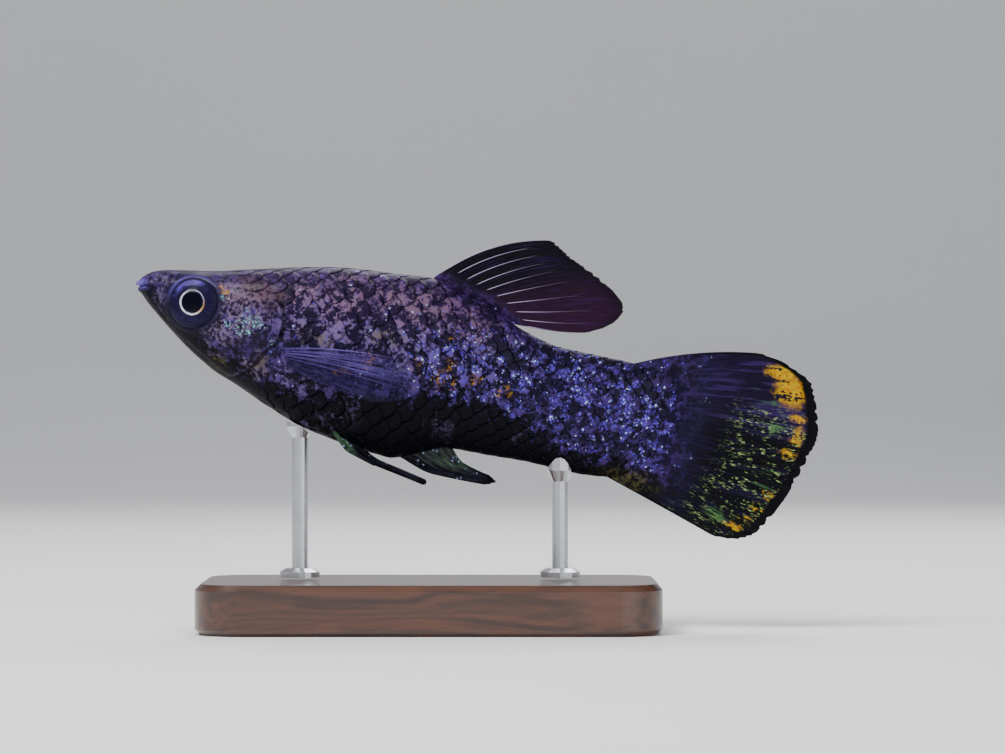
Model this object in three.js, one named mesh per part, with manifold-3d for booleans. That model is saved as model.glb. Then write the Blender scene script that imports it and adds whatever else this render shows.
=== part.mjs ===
// A life-size still model of a male molly, a small live-bearing fish, held nose up on two short
// rods over a flat base. Millimetres, +Z up. The origin is the centre of the base's underside. The
// fish faces -X and its left side faces -Y.
//
// The fish is built in a frame of its own: X runs from the snout to the tail fin, Z is height above
// the line from the snout to the middle of the tail's root, and Y is 0 in the middle of the body.
import * as THREE from "three";
import { mergeVertices } from "three/addons/utils/BufferGeometryUtils.js";
import Module from "manifold-3d";

const wasm = await Module();
wasm.setup();

// Driving dimensions
const STANDARD_LENGTH = 54.5; // snout to the root of the tail fin
const BODY_DEPTH = 18.6; // back to belly in front of the dorsal fin
const BODY_WIDTH = 9.1;
const EYE_DIAMETER = 4.7;
const NOSE_UP = THREE.MathUtils.degToRad(15);
const ROD_SPACING = 26;
const BASE_LENGTH = 46;
const BASE_WIDTH = 24;
const BASE_HEIGHT = 5;
const SNOUT_FORWARD = 29.4; // snout ahead of the base's centre
const SNOUT_HEIGHT = 34.5; // snout above the floor, which keeps the tail fin clear of it
const GAP = 0.3; // between pieces that touch

// The body's sections. at is a share of the standard length, back and belly are heights as shares
// of the body's depth, and half is a share of the body's half width.
const SECTIONS = [
  { name: "snout", at: 0, back: 0.022, belly: -0.011, half: 0.17 },
  { name: "lips", at: 0.007, back: 0.055, belly: -0.024, half: 0.28 },
  { name: "mouth corner", at: 0.026, back: 0.101, belly: -0.072, half: 0.43 },
  { name: "nostrils", at: 0.046, back: 0.124, belly: -0.115, half: 0.54 },
  { name: "eye front", at: 0.086, back: 0.154, belly: -0.194, half: 0.67 },
  { name: "eye back", at: 0.128, back: 0.183, belly: -0.269, half: 0.78 },
  { name: "cheek", at: 0.174, back: 0.223, belly: -0.333, half: 0.87 },
  { name: "gill cover", at: 0.229, back: 0.274, belly: -0.387, half: 0.945 },
  { name: "shoulder", at: 0.288, back: 0.328, belly: -0.446, half: 0.99 },
  { name: "widest", at: 0.367, back: 0.387, belly: -0.511, half: 1 },
  { name: "pelvic fins", at: 0.459, back: 0.425, belly: -0.54, half: 0.945 },
  { name: "deepest", at: 0.527, back: 0.452, belly: -0.548, half: 0.88 },
  { name: "vent", at: 0.578, back: 0.422, belly: -0.489, half: 0.79 },
  { name: "anal fin's end", at: 0.628, back: 0.395, belly: -0.417, half: 0.71 },
  { name: "dorsal fin's end", at: 0.712, back: 0.304, belly: -0.395, half: 0.6 },
  { name: "tail stalk", at: 0.78, back: 0.271, belly: -0.376, half: 0.53 },
  { name: "mid stalk", at: 0.862, back: 0.282, belly: -0.37, half: 0.43 },
  { name: "stalk's end", at: 0.927, back: 0.296, belly: -0.344, half: 0.33 },
  { name: "tail fin's root", at: 0.972, back: 0.328, belly: -0.344, half: 0.25 },
  { name: "past the root", at: 1.046, back: 0.355, belly: -0.355, half: 0.19 },
];
const WIDEST_AT = 0.54; // height of the widest point, as a share from the belly to the back
const ROUND = 2; // the fullness of an ellipse; a higher one is squarer
const BACK_FULLNESS = [[0, 2.3], [0.1, 2.7], [0.3, 2.25], [0.6, 2], [1.05, 2]];
const BELLY_FULLNESS = [[0, 2.2], [0.12, 1.9], [0.35, 2.1], [0.55, 1.9], [1.05, 2]];

// Body mesh
const BODY_RINGS = 66;
const RING_CROWDING = 1.4; // above 1, rings lie closer together at the snout
const RING_SIDES = 36;
const INNER_RINGS = 24;
const INNER_SIDES = 16;

// Head
const EYE = { x: 6.3, z: -0.19, sunk: 0.35, depth: 0.9, forward: 11 };
const ORBIT_RIM = { radius: 2.75, spread: 0.32, height: 0.16 };
const MOUTH = { cornerX: 1.2, cornerZ: 0.3, frontZ: -0.17, chinX: 2.9, chinZ: -3.4 };
const LIP = { height: 0.18, lowerShare: 0.5, spread: 0.24, offset: 0.36 };
const NOSTRIL = { x: 2.3, z: 1.15, radius: 0.34 };
const GILL_COVER = { x: 12.3, z: -2.1, long: 3.15, high: 4.2, thick: 0.9, raised: 0.2 };
const NAPE_X = 12.6; // where the line between head and trunk crosses the back

// Body behind the head
const STALK_START = 38.7;
const STALK_END = { x: 47.5, z: -0.2, radius: 7.7 }; // the arc that the tail fin grows from

// Fins: thickness and relief. A ray stands proud of the membrane on both faces.
const MEMBRANE = 0.5;
const RAY_HEIGHT = 0.15;
const RAY_FOOT = 0.28; // half a ray's width at its foot, as a share of the space between rays
const NOTCH = 0.015; // how far the membrane's edge falls short between the ray tips

const degrees = THREE.MathUtils.degToRad;

// A smooth curve through [place, value] pairs that never overshoots them.
function curveThrough(keys) {
  const slope = keys.slice(1).map((k, i) => (k[1] - keys[i][1]) / (k[0] - keys[i][0]));
  const tangent = keys.map((k, i) => {
    if (i === 0) return slope[0];
    if (i === keys.length - 1) return slope[i - 1];
    const before = slope[i - 1];
    const after = slope[i];
    return before * after <= 0 ? 0 : (2 * before * after) / (before + after);
  });
  return (place) => {
    const last = keys.length - 2;
    let i = 0;
    while (i < last && place > keys[i + 1][0]) i += 1;
    const width = keys[i + 1][0] - keys[i][0];
    const t = THREE.MathUtils.clamp((place - keys[i][0]) / width, 0, 1);
    const start = (1 + 2 * t) * (1 - t) ** 2;
    const end = t * t * (3 - 2 * t);
    const lean = t * (1 - t) ** 2 * tangent[i] - t * t * (1 - t) * tangent[i + 1];
    return start * keys[i][1] + end * keys[i + 1][1] + width * lean;
  };
}

const sectionCurve = (size, scale) =>
  curveThrough(SECTIONS.map((section) => [section.at * STANDARD_LENGTH, section[size] * scale]));
const backAt = sectionCurve("back", BODY_DEPTH);
const bellyAt = sectionCurve("belly", BODY_DEPTH);
const halfWidthAt = sectionCurve("half", BODY_WIDTH / 2);
const scaledAlong = (keys) => curveThrough(keys.map(([at, value]) => [at * STANDARD_LENGTH, value]));
const backFullnessAt = scaledAlong(BACK_FULLNESS);
const bellyFullnessAt = scaledAlong(BELLY_FULLNESS);
const levelAt = (x) => bellyAt(x) + WIDEST_AT * (backAt(x) - bellyAt(x));

// Half the body's width at a height z.
function sideAt(x, z) {
  const rise = z - levelAt(x);
  const reach = rise > 0 ? backAt(x) - levelAt(x) : levelAt(x) - bellyAt(x);
  const fullness = rise > 0 ? backFullnessAt(x) : bellyFullnessAt(x);
  const share = Math.min(Math.abs(rise) / reach, 1) ** fullness;
  return halfWidthAt(x) * (1 - share) ** (1 / fullness);
}

// The height of the belly's surface a distance y from the middle.
function bellySurface(x, y) {
  const fullness = bellyFullnessAt(x);
  const share = Math.min(Math.abs(y) / halfWidthAt(x), 1) ** fullness;
  return levelAt(x) - (levelAt(x) - bellyAt(x)) * (1 - share) ** (1 / fullness);
}

const bump = (distance, spread) => Math.exp(-((distance / spread) ** 2));
const smooth = THREE.MathUtils.smoothstep;

// Height of the mouth's line, which climbs from the front of the snout to its corners.
const mouthLine = (x) => MOUTH.frontZ + ((MOUTH.cornerZ - MOUTH.frontZ) * x) / MOUTH.cornerX;

// How far from the gill cover's centre a point is, where 1 is on its edge.
const gillReach = (x, z) =>
  Math.hypot((x - GILL_COVER.x) / GILL_COVER.long, (z - GILL_COVER.z) / GILL_COVER.high);

// How far the head's surface stands out from its plain section: lips, the rim round each eye, and
// the gill cover, which lifts towards its hind edge.
function relief(x, z) {
  const fromLine = z - mouthLine(x);
  const onLips = 1 - smooth(x, MOUTH.cornerX * 0.8, MOUTH.cornerX * 1.6);
  const lipShare = onLips * (fromLine > 0 ? 1 : LIP.lowerShare);
  const lips = LIP.height * lipShare * bump(Math.abs(fromLine) - LIP.offset, LIP.spread);
  const fromEye = Math.hypot(x - EYE.x, z - EYE.z);
  const orbit = ORBIT_RIM.height * bump(fromEye - ORBIT_RIM.radius, ORBIT_RIM.spread);
  const lift = smooth(x, GILL_COVER.x - GILL_COVER.long, GILL_COVER.x + GILL_COVER.long);
  const gill = GILL_COVER.raised * lift * (1 - smooth(gillReach(x, z), 0.97, 1.06));
  return lips + orbit + gill;
}

// A point of the body's surface. turn goes once round the section from the back, and inset shrinks
// the section evenly.
function bodyPoint(x, turn, inset = 0) {
  const cosine = Math.cos(turn);
  const sine = Math.sin(turn);
  const level = levelAt(x);
  const fullness = cosine > 0 ? backFullnessAt(x) : bellyFullnessAt(x);
  const reach = (cosine > 0 ? backAt(x) - level : level - bellyAt(x)) - inset;
  const half = halfWidthAt(x) - inset;
  const squared = (value) => Math.sign(value) * Math.abs(value) ** (ROUND / fullness);
  const y = half * squared(sine);
  const z = level + reach * squared(cosine);
  const outward = new THREE.Vector2(y / half ** 2, (z - level) / reach ** 2).normalize();
  const out = inset > 0 ? 0 : relief(x, z);
  return new THREE.Vector3(x, y + out * outward.x, z + out * outward.y);
}

// A closed mesh through rings of points that all have the same number of points, with a centre
// point at each end.
function loft(rings) {
  const sides = rings[0].length;
  const middle = (ring) =>
    ring.reduce((sum, point) => sum.add(point), new THREE.Vector3()).divideScalar(sides);
  const points = [...rings.flat(), middle(rings[0]), middle(rings.at(-1))];
  const faces = [];
  const firstEnd = rings.length * sides;
  for (let side = 0; side < sides; side += 1) {
    const next = (side + 1) % sides;
    for (let ring = 0; ring < rings.length - 1; ring += 1) {
      const a = ring * sides + side;
      const b = ring * sides + next;
      faces.push(a, b, a + sides, b, b + sides, a + sides);
    }
    const lastRing = firstEnd - sides;
    faces.push(firstEnd, next, side, firstEnd + 1, lastRing + side, lastRing + next);
  }
  return meshFrom(points, faces);
}

function meshFrom(points, faces) {
  const geometry = new THREE.BufferGeometry().setFromPoints(points);
  geometry.setIndex(faces);
  return geometry;
}

// A geometry as a solid for joining and cutting.
function solidFrom(geometry) {
  const bare = geometry.clone();
  bare.deleteAttribute("normal");
  bare.deleteAttribute("uv");
  const merged = mergeVertices(bare, 1e-4);
  const mesh = new wasm.Mesh({
    numProp: 3,
    vertProperties: merged.attributes.position.array,
    triVerts: new Uint32Array(merged.index.array),
  });
  return new wasm.Manifold(mesh);
}

function geometryFrom(solid) {
  const mesh = solid.getMesh();
  const geometry = new THREE.BufferGeometry();
  geometry.setAttribute("position", new THREE.BufferAttribute(mesh.vertProperties, 3));
  geometry.setIndex(new THREE.BufferAttribute(mesh.triVerts, 1));
  geometry.computeVertexNormals();
  return geometry;
}

const largest = (solid) =>
  solid.decompose().reduce((best, piece) => (piece.volume() > best.volume() ? piece : best));

// A flat outline in the fish's X and Z, extended sideways from y = from to y = to.
function slab(outline, from, to) {
  const shape = new THREE.Shape(outline.map(([x, z]) => new THREE.Vector2(x, z)));
  const geometry = new THREE.ExtrudeGeometry(shape, { depth: to - from, bevelEnabled: false });
  geometry.rotateX(Math.PI / 2);
  geometry.translate(0, to, 0);
  return solidFrom(geometry);
}

// A thin blade along a line in X and Z, as thick as the gap that it leaves.
function blade(line) {
  const normals = line.map((_, i) => {
    const before = line[Math.max(i - 1, 0)];
    const after = line[Math.min(i + 1, line.length - 1)];
    return new THREE.Vector2(before[1] - after[1], after[0] - before[0]).normalize();
  });
  const shifted = (side) =>
    line.map(([x, z], i) => [x + side * normals[i].x, z + side * normals[i].y]);
  const outline = [...shifted(GAP / 2), ...shifted(-GAP / 2).reverse()];
  return slab(outline, -BODY_WIDTH, BODY_WIDTH);
}

// Points along an arc of an ellipse, from one angle to another.
function arc({ x, z, long, high }, from, to, steps) {
  return Array.from({ length: steps + 1 }, (_, i) => {
    const angle = from + ((to - from) * i) / steps;
    return [x + long * Math.cos(angle), z + high * Math.sin(angle)];
  });
}

// The whole body, or a coarser one shrunk by an inset, which hollows out the gill covers.
function bodySolid(inset = 0) {
  const ringCount = inset > 0 ? INNER_RINGS : BODY_RINGS;
  const sides = inset > 0 ? INNER_SIDES : RING_SIDES;
  const length = SECTIONS.at(-1).at * STANDARD_LENGTH;
  const rings = Array.from({ length: ringCount + 1 }, (_, i) => {
    const x = length * (i / ringCount) ** RING_CROWDING;
    const room = Math.min(inset, 0.8 * halfWidthAt(x), 0.8 * (backAt(x) - levelAt(x)));
    return Array.from({ length: sides }, (_, side) =>
      bodyPoint(x, (-2 * Math.PI * side) / sides, room),
    );
  });
  return solidFrom(loft(rings));
}

// The lines that part the body, seen from the side.
const gillEdge = (grow) => ({
  x: GILL_COVER.x,
  z: GILL_COVER.z,
  long: GILL_COVER.long + grow,
  high: GILL_COVER.high + grow,
});
const mouthCut = [
  [-1, mouthLine(-1)],
  [0, mouthLine(0)],
  [MOUTH.cornerX, MOUTH.cornerZ],
  [MOUTH.cornerX + 0.45, MOUTH.cornerZ - 0.25],
  [MOUTH.chinX, MOUTH.chinZ],
];
const headCut = [
  [NAPE_X, BODY_DEPTH],
  [NAPE_X, GILL_COVER.z + GILL_COVER.high],
  ...arc(gillEdge(GAP / 2), degrees(55), degrees(-70), 14),
  [NAPE_X - 0.5, -BODY_DEPTH],
];
const stalkCut = [
  [STALK_START, BODY_DEPTH],
  [STALK_START, -BODY_DEPTH],
];
const stalkEnd = (grow) => ({
  x: STALK_END.x,
  z: STALK_END.z,
  long: STALK_END.radius + grow,
  high: STALK_END.radius + grow,
});
const finCut = arc(stalkEnd(GAP / 2), degrees(75), degrees(-75), 14);

// An eye's flattened ball, or its socket when grown by a gap. The eye is as wide as its diameter
// where it leaves the head.
function eyeball(side, grow) {
  const ball = new THREE.SphereGeometry(1, 20, 9);
  const radius = EYE_DIAMETER / 2 / Math.sqrt(1 - (EYE.sunk / EYE.depth) ** 2) + grow;
  ball.rotateX(Math.PI / 2);
  ball.scale(radius, EYE.depth + grow, radius);
  ball.rotateZ(side * degrees(EYE.forward));
  ball.translate(EYE.x, side * (sideAt(EYE.x, EYE.z) - EYE.sunk), EYE.z);
  return solidFrom(ball);
}

function nostril(side) {
  const pit = new THREE.IcosahedronGeometry(NOSTRIL.radius, 1);
  pit.translate(NOSTRIL.x, side * sideAt(NOSTRIL.x, NOSTRIL.z), NOSTRIL.z);
  return solidFrom(pit);
}

// The outline of a gill cover as a slab on one side of the body.
function gillSlab(side, grow) {
  const outline = arc(gillEdge(grow), 0, 2 * Math.PI, 28).slice(0, -1);
  const [from, to] = side > 0 ? [0.5, BODY_WIDTH] : [-BODY_WIDTH, -0.5];
  return slab(outline, from, to);
}

// The body, parted into its named pieces from front to back.
function partedBody() {
  const whole = bodySolid();
  const parted = [mouthCut, headCut, stalkCut, finCut]
    .map(blade)
    .reduce((body, cut) => body.subtract(cut), whole);
  const pieces = parted.decompose().filter((piece) => piece.volume() > 1);
  pieces.sort((a, b) => a.boundingBox().max[0] - b.boundingBox().max[0]);
  const [jaw, head, trunk, stalk] = pieces;
  const cover = (side) =>
    largest(head.intersect(gillSlab(side, 0)).subtract(bodySolid(GILL_COVER.thick)));
  const seat = (side) => gillSlab(side, GAP).subtract(bodySolid(GILL_COVER.thick + GAP));
  const cut = [-1, 1].reduce(
    (left, side) =>
      left.subtract(seat(side)).subtract(eyeball(side, GAP)).subtract(nostril(side)),
    head,
  );
  return {
    lower_jaw: jaw,
    head: largest(cut),
    gill_cover_left: cover(-1),
    gill_cover_right: cover(1),
    trunk,
    tail_stalk: stalk,
  };
}

// A fin is a fan of rays from u = 0 to u = 1. Each ray starts at its root, sets off at its first
// heading, turns evenly to its last one and runs for its length, in the side view.
function rayPoint(fin, u, share) {
  const reach = fin.length(u) * share;
  const steps = 12;
  const [x, z] = fin.root(u);
  const point = new THREE.Vector2(x, z);
  for (let i = 0; i < steps; i += 1) {
    const at = (share * (i + 0.5)) / steps;
    const heading = degrees(THREE.MathUtils.lerp(fin.leaves(u), fin.ends(u), at));
    point.x += (reach / steps) * Math.cos(heading);
    point.y += (reach / steps) * Math.sin(heading);
  }
  return point;
}

// Where the columns of a fin's mesh lie: on each ray's crest and at both its feet.
function finColumns(rays) {
  const space = 1 / (rays - 1);
  const columns = [];
  for (let ray = 0; ray < rays; ray += 1) {
    const u = ray * space;
    if (ray > 0) columns.push({ u: u - RAY_FOOT * space, crest: 0 });
    columns.push({ u, crest: 1 });
    if (ray < rays - 1) columns.push({ u: u + RAY_FOOT * space, crest: 0 });
  }
  return columns;
}

// A closed fin. Both faces are split into like triangles, so that a curved fin can't cross itself.
function finGeometry(fin) {
  const columns = finColumns(fin.rays);
  const rows = fin.rows;
  const faces = [];
  const points = [];
  for (const side of fin.hangs ? [-1, 1] : [1, -1]) {
    for (const { u, crest } of columns) {
      for (let row = 0; row <= rows; row += 1) {
        const share = row / rows;
        const edge = 1 - (1 - crest) * NOTCH * share;
        const { x, y: z } = rayPoint(fin, u, share * edge);
        const ridge = crest * RAY_HEIGHT * (fin.rayHeight ?? 1) * (1 - 0.6 * share);
        const root = fin.rootThickness * (1 - smooth(share, 0, fin.rootShare));
        const half = Math.max(MEMBRANE, root) / 2 + ridge + (fin.swell?.(u, share) ?? 0);
        const middle = fin.sideways(u, share, x, z);
        const across = fin.across ?? new THREE.Vector3(0, 1, 0);
        points.push(middle.addScaledVector(across, side * half));
      }
    }
  }
  const count = rows + 1;
  const faceSize = columns.length * count;
  const at = (column, row) => column * count + row;
  const quad = (a, b, c, d) => faces.push(a, b, c, a, c, d);
  for (let column = 0; column < columns.length - 1; column += 1) {
    for (let row = 0; row < rows; row += 1) {
      const a = at(column, row);
      const b = at(column + 1, row);
      const c = at(column + 1, row + 1);
      const d = at(column, row + 1);
      quad(a, d, c, b);
      quad(a + faceSize, b + faceSize, c + faceSize, d + faceSize);
    }
  }
  // The rim joins the two faces all the way round.
  const rim = [];
  for (let row = 0; row < rows; row += 1) rim.push(at(0, row));
  for (let column = 0; column < columns.length - 1; column += 1) rim.push(at(column, rows));
  for (let row = rows; row > 0; row -= 1) rim.push(at(columns.length - 1, row));
  for (let column = columns.length - 1; column > 0; column -= 1) rim.push(at(column, 0));
  rim.forEach((a, i) => {
    const b = rim[(i + 1) % rim.length];
    quad(a, a + faceSize, b + faceSize, b);
  });
  return meshFrom(points, faces);
}

// A fin in the middle plane of the body.
const inTheMiddle = (u, share, x, z) => new THREE.Vector3(x, 0, z);

const dorsalFin = {
  rays: 10,
  rows: 8,
  root: (u) => {
    const x = THREE.MathUtils.lerp(28.9, 38.2, u);
    return [x, backAt(x) + GAP];
  },
  leaves: curveThrough([[0, 52], [0.33, 43], [0.5, 33], [0.78, 12.5], [1, 1]]),
  ends: curveThrough([[0, 12], [0.33, 18], [0.5, 23], [0.7, 22], [1, 16]]),
  length: curveThrough([[0, 12.2], [0.44, 11.2], [0.76, 12.2], [0.89, 10.2], [1, 6.8]]),
  rootThickness: 1,
  rootShare: 0.3,
  sideways: inTheMiddle,
};

const tailFin = {
  rays: 16,
  rows: 8,
  root: (u) => arc(stalkEnd(GAP), degrees(54 - 108 * u), 0, 1)[0],
  leaves: curveThrough([[0, 26], [0.25, 12], [0.5, 3], [0.75, -7], [1, -14]]),
  ends: curveThrough([[0, 10], [0.25, 3.5], [0.5, 3], [0.75, -9], [1, -15]]),
  length: curveThrough([
    [0, 10.7],
    [0.06, 12.9],
    [0.14, 14.6],
    [0.36, 14.6],
    [0.5, 13.9],
    [0.75, 13],
    [0.88, 12.9],
    [0.95, 12.2],
    [1, 10.6],
  ]),
  rootThickness: 1.7,
  rootShare: 0.4,
  sideways: inTheMiddle,
};

const analFin = {
  hangs: true,
  rays: 7,
  rows: 8,
  root: (u) => {
    const x = THREE.MathUtils.lerp(29.4, 34.1, u);
    return [x, bellyAt(x) - GAP];
  },
  leaves: curveThrough([[0, -1.5], [0.4, -6], [1, -23]]),
  ends: curveThrough([[0, 5.5], [0.4, 3], [1, -4]]),
  length: curveThrough([[0, 10], [0.3, 9.1], [0.6, 7.7], [1, 5.4]]),
  rootThickness: 0.9,
  rootShare: 0.3,
  // The long front rays are stout, and end in a small hood.
  swell: (u, share) => (1 - smooth(u, 0.1, 0.45)) * (0.1 + 0.12 * bump(share - 0.93, 0.06)),
  sideways: inTheMiddle,
};

// A pectoral fin lies back along the flank and stands away from it towards its tip.
const pectoralFin = (side) => ({
  rays: 11,
  rows: 6,
  root: (u) => [THREE.MathUtils.lerp(15.85, 16.5, u), THREE.MathUtils.lerp(-2.4, -3.8, u)],
  leaves: curveThrough([[0, 18], [0.5, 2], [1, -12]]),
  ends: curveThrough([[0, 1], [0.5, -3], [1, -3]]),
  length: curveThrough([[0, 12.2], [0.3, 13.5], [0.6, 13.1], [1, 10]]),
  rootThickness: 0.9,
  rootShare: 0.25,
  sideways: (u, share, x, z) => {
    const clear = GAP + 0.5 + 2.6 * share ** 1.4;
    return new THREE.Vector3(x, side * (sideAt(x, z) + clear), z);
  },
});

// A pelvic fin has one long stout ray next to the middle and short ones outside it.
const pelvicFin = (side) => ({
  rays: 4,
  rows: 8,
  root: (u) => {
    const x = THREE.MathUtils.lerp(24.4, 22.8, u);
    return [x, bellySurface(x, 0.8 + 0.9 * u) - GAP - 0.4];
  },
  leaves: curveThrough([[0, -6], [1, -15]]),
  ends: curveThrough([[0, -8], [1, -12]]),
  length: curveThrough([[0, 9.1], [0.33, 5.8], [1, 5.4]]),
  rootThickness: 0.7,
  rootShare: 0.3,
  swell: (u, share) => 0.1 * (1 - smooth(u, 0, 0.3)) * (0.6 + bump(share - 0.85, 0.12)),
  across: new THREE.Vector3(0, Math.cos(degrees(35)), side * Math.sin(degrees(35))),
  sideways: (u, share, x, z) =>
    new THREE.Vector3(x, side * (0.8 + 0.9 * u + share * (0.3 + 0.8 * u)), z),
});

// Stand
const ROD = { radius: 0.8, foot: 2, footHeight: 0.9, cup: 1.35, cupHeight: 1.1 };
const CORNER_RADIUS = 4;
const EDGE_BEVEL = 0.6;

function baseSolid() {
  const x = BASE_LENGTH / 2 - EDGE_BEVEL;
  const y = BASE_WIDTH / 2 - EDGE_BEVEL;
  const r = CORNER_RADIUS;
  const outline = new THREE.Shape();
  outline.absarc(x - r, y - r, r, 0, Math.PI / 2);
  outline.absarc(r - x, y - r, r, Math.PI / 2, Math.PI);
  outline.absarc(r - x, r - y, r, Math.PI, 1.5 * Math.PI);
  outline.absarc(x - r, r - y, r, 1.5 * Math.PI, 2 * Math.PI);
  const plate = new THREE.ExtrudeGeometry(outline, {
    depth: BASE_HEIGHT - 2 * EDGE_BEVEL,
    bevelSize: EDGE_BEVEL,
    bevelThickness: EDGE_BEVEL,
    bevelSegments: 1,
    curveSegments: 8,
  });
  plate.translate(0, 0, EDGE_BEVEL);
  return solidFrom(plate);
}

// The height above the floor of the belly's middle line, at a place along the stand.
function bellyAboveFloor(x) {
  let along = x + SNOUT_FORWARD;
  for (let i = 0; i < 6; i += 1) {
    along = (x + SNOUT_FORWARD - bellyAt(along) * Math.sin(NOSE_UP)) / Math.cos(NOSE_UP);
  }
  return SNOUT_HEIGHT - along * Math.sin(NOSE_UP) + bellyAt(along) * Math.cos(NOSE_UP);
}

// A rod with a foot on the base and a cup whose top follows the belly that it holds.
function rodSolid(x, bodyInPlace) {
  const bottom = BASE_HEIGHT + GAP;
  const belly = bellyAboveFloor(x) - bottom;
  const profile = [
    [0, 0],
    [ROD.foot, 0],
    [ROD.foot, ROD.footHeight * 0.6],
    [ROD.foot * 0.7, ROD.footHeight],
    [ROD.radius, ROD.footHeight],
    [ROD.radius, belly - ROD.cupHeight],
    [ROD.cup, belly],
    [ROD.cup, belly + ROD.cup],
    [0, belly + ROD.cup],
  ];
  const rod = new THREE.LatheGeometry(profile.map(([r, z]) => new THREE.Vector2(r, z)), 20);
  rod.rotateX(Math.PI / 2);
  rod.translate(x, 0, bottom);
  const trimmed = solidFrom(rod).subtract(bodyInPlace.translate([0, 0, -GAP]));
  return trimmed.decompose().sort((a, b) => a.boundingBox().min[2] - b.boundingBox().min[2])[0];
}

const matt = (colour, roughness = 0.5) =>
  new THREE.MeshStandardMaterial({ color: colour, roughness, metalness: 0 });
const skin = matt(0x2c2342, 0.4);
const darkFin = matt(0x1b1626, 0.45);
const paleFin = matt(0x4a3f86, 0.4);
const iris = matt(0x2a2350, 0.12);
const wood = matt(0x2b1a12, 0.35);
const steel = new THREE.MeshStandardMaterial({ color: 0xb9bcc2, roughness: 0.3, metalness: 1 });

function piece(name, geometry, material) {
  geometry.computeVertexNormals();
  const mesh = new THREE.Mesh(geometry, material);
  mesh.name = name;
  return mesh;
}

const fish = new THREE.Group();
fish.rotation.y = NOSE_UP;
fish.position.set(-SNOUT_FORWARD, 0, SNOUT_HEIGHT);
fish.updateMatrixWorld(true);

for (const [name, solid] of Object.entries(partedBody())) {
  fish.add(piece(name, geometryFrom(solid), skin));
}
fish.add(piece("dorsal_fin", finGeometry(dorsalFin), darkFin));
fish.add(piece("tail_fin", finGeometry(tailFin), darkFin));
fish.add(piece("anal_fin", finGeometry(analFin), darkFin));
for (const [word, side] of [["left", -1], ["right", 1]]) {
  fish.add(piece(`eye_${word}`, geometryFrom(eyeball(side, 0)), iris));
  fish.add(piece(`pectoral_fin_${word}`, finGeometry(pectoralFin(side)), paleFin));
  fish.add(piece(`pelvic_fin_${word}`, finGeometry(pelvicFin(side)), darkFin));
}

const bodyInPlace = bodySolid().transform(fish.matrixWorld.toArray());
const stand = new THREE.Group();
stand.add(piece("stand_base", geometryFrom(baseSolid()), wood));
for (const [word, x] of [["front", -ROD_SPACING / 2], ["rear", ROD_SPACING / 2]]) {
  stand.add(piece(`stand_rod_${word}`, geometryFrom(rodSolid(x, bodyInPlace)), steel));
}

const model = new THREE.Group();
model.add(fish, stand);

export default model;
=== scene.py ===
"""A male molly on a display stand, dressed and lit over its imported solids.

The fish is made in a frame of its own, in millimetres: x runs from the snout to the tail fin, z is
height above the line from the snout to the middle of the tail's root, and y is 0 in the middle.
"""

import math

import bmesh
import bpy
import numpy as np
from mathutils import Matrix, Vector


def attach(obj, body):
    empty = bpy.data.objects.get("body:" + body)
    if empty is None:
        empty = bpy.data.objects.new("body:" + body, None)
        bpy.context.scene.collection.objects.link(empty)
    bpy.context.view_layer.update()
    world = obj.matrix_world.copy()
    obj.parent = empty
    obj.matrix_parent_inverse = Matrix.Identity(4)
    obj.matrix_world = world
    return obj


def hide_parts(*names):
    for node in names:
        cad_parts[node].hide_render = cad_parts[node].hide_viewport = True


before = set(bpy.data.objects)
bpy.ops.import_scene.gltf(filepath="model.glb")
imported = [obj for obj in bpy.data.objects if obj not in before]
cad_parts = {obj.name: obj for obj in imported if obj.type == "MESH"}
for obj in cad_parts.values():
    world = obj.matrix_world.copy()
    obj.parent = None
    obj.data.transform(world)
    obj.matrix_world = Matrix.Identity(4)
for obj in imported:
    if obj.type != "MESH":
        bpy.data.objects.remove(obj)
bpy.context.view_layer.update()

# The photograph's frame
IMAGE_WIDTH = 1005
PIXELS_PER_MM = 10
VIEW_CENTRE = (7.25, 25.3)  # millimetres along the stand and above the floor
CAMERA_DISTANCE = 420
SENSOR_WIDTH = 36

# The studio, in millimetres. The floor bends up into the backdrop behind the fish.
FLOOR_FRONT = -900
SWEEP_START = 440
SWEEP_BEND = 260
SWEEP_STEPS = 14
BACKDROP_TOP = 1200
SWEEP_HALF = 1100
LIT_POINT = (0, 0, 28)
# Each light's name, place, size, power and tint
LIGHTS = [
    ("key_light", (-160, -190, 340), 200, 2.3, (1, 1, 1)),
    ("fill_light", (260, -330, 120), 300, 0.6, (0.94, 0.96, 1.0)),
    ("back_light", (60, 240, 300), 240, 1.1, (1, 1, 1)),
]
ROOM_TINT = (0.86, 0.89, 0.94, 1)
ROOM_LIGHT = 0.34

# The fish's place on its stand
MM = 0.001
NOSE_UP = math.radians(15)
SNOUT = Vector((-29.4, 0, 34.5)) * MM
IN_SIDE_VIEW = (1, 0, 1)  # keeps a vector's x and z
FISH_TO_WORLD = Matrix.Translation(SNOUT) @ Matrix.Rotation(NOSE_UP, 4, "Y") @ Matrix.Scale(MM, 4)

# Driving dimensions, as in the part's source
STANDARD_LENGTH = 54.5
BODY_DEPTH = 18.6
BODY_WIDTH = 9.1
EYE_DIAMETER = 4.7

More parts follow.
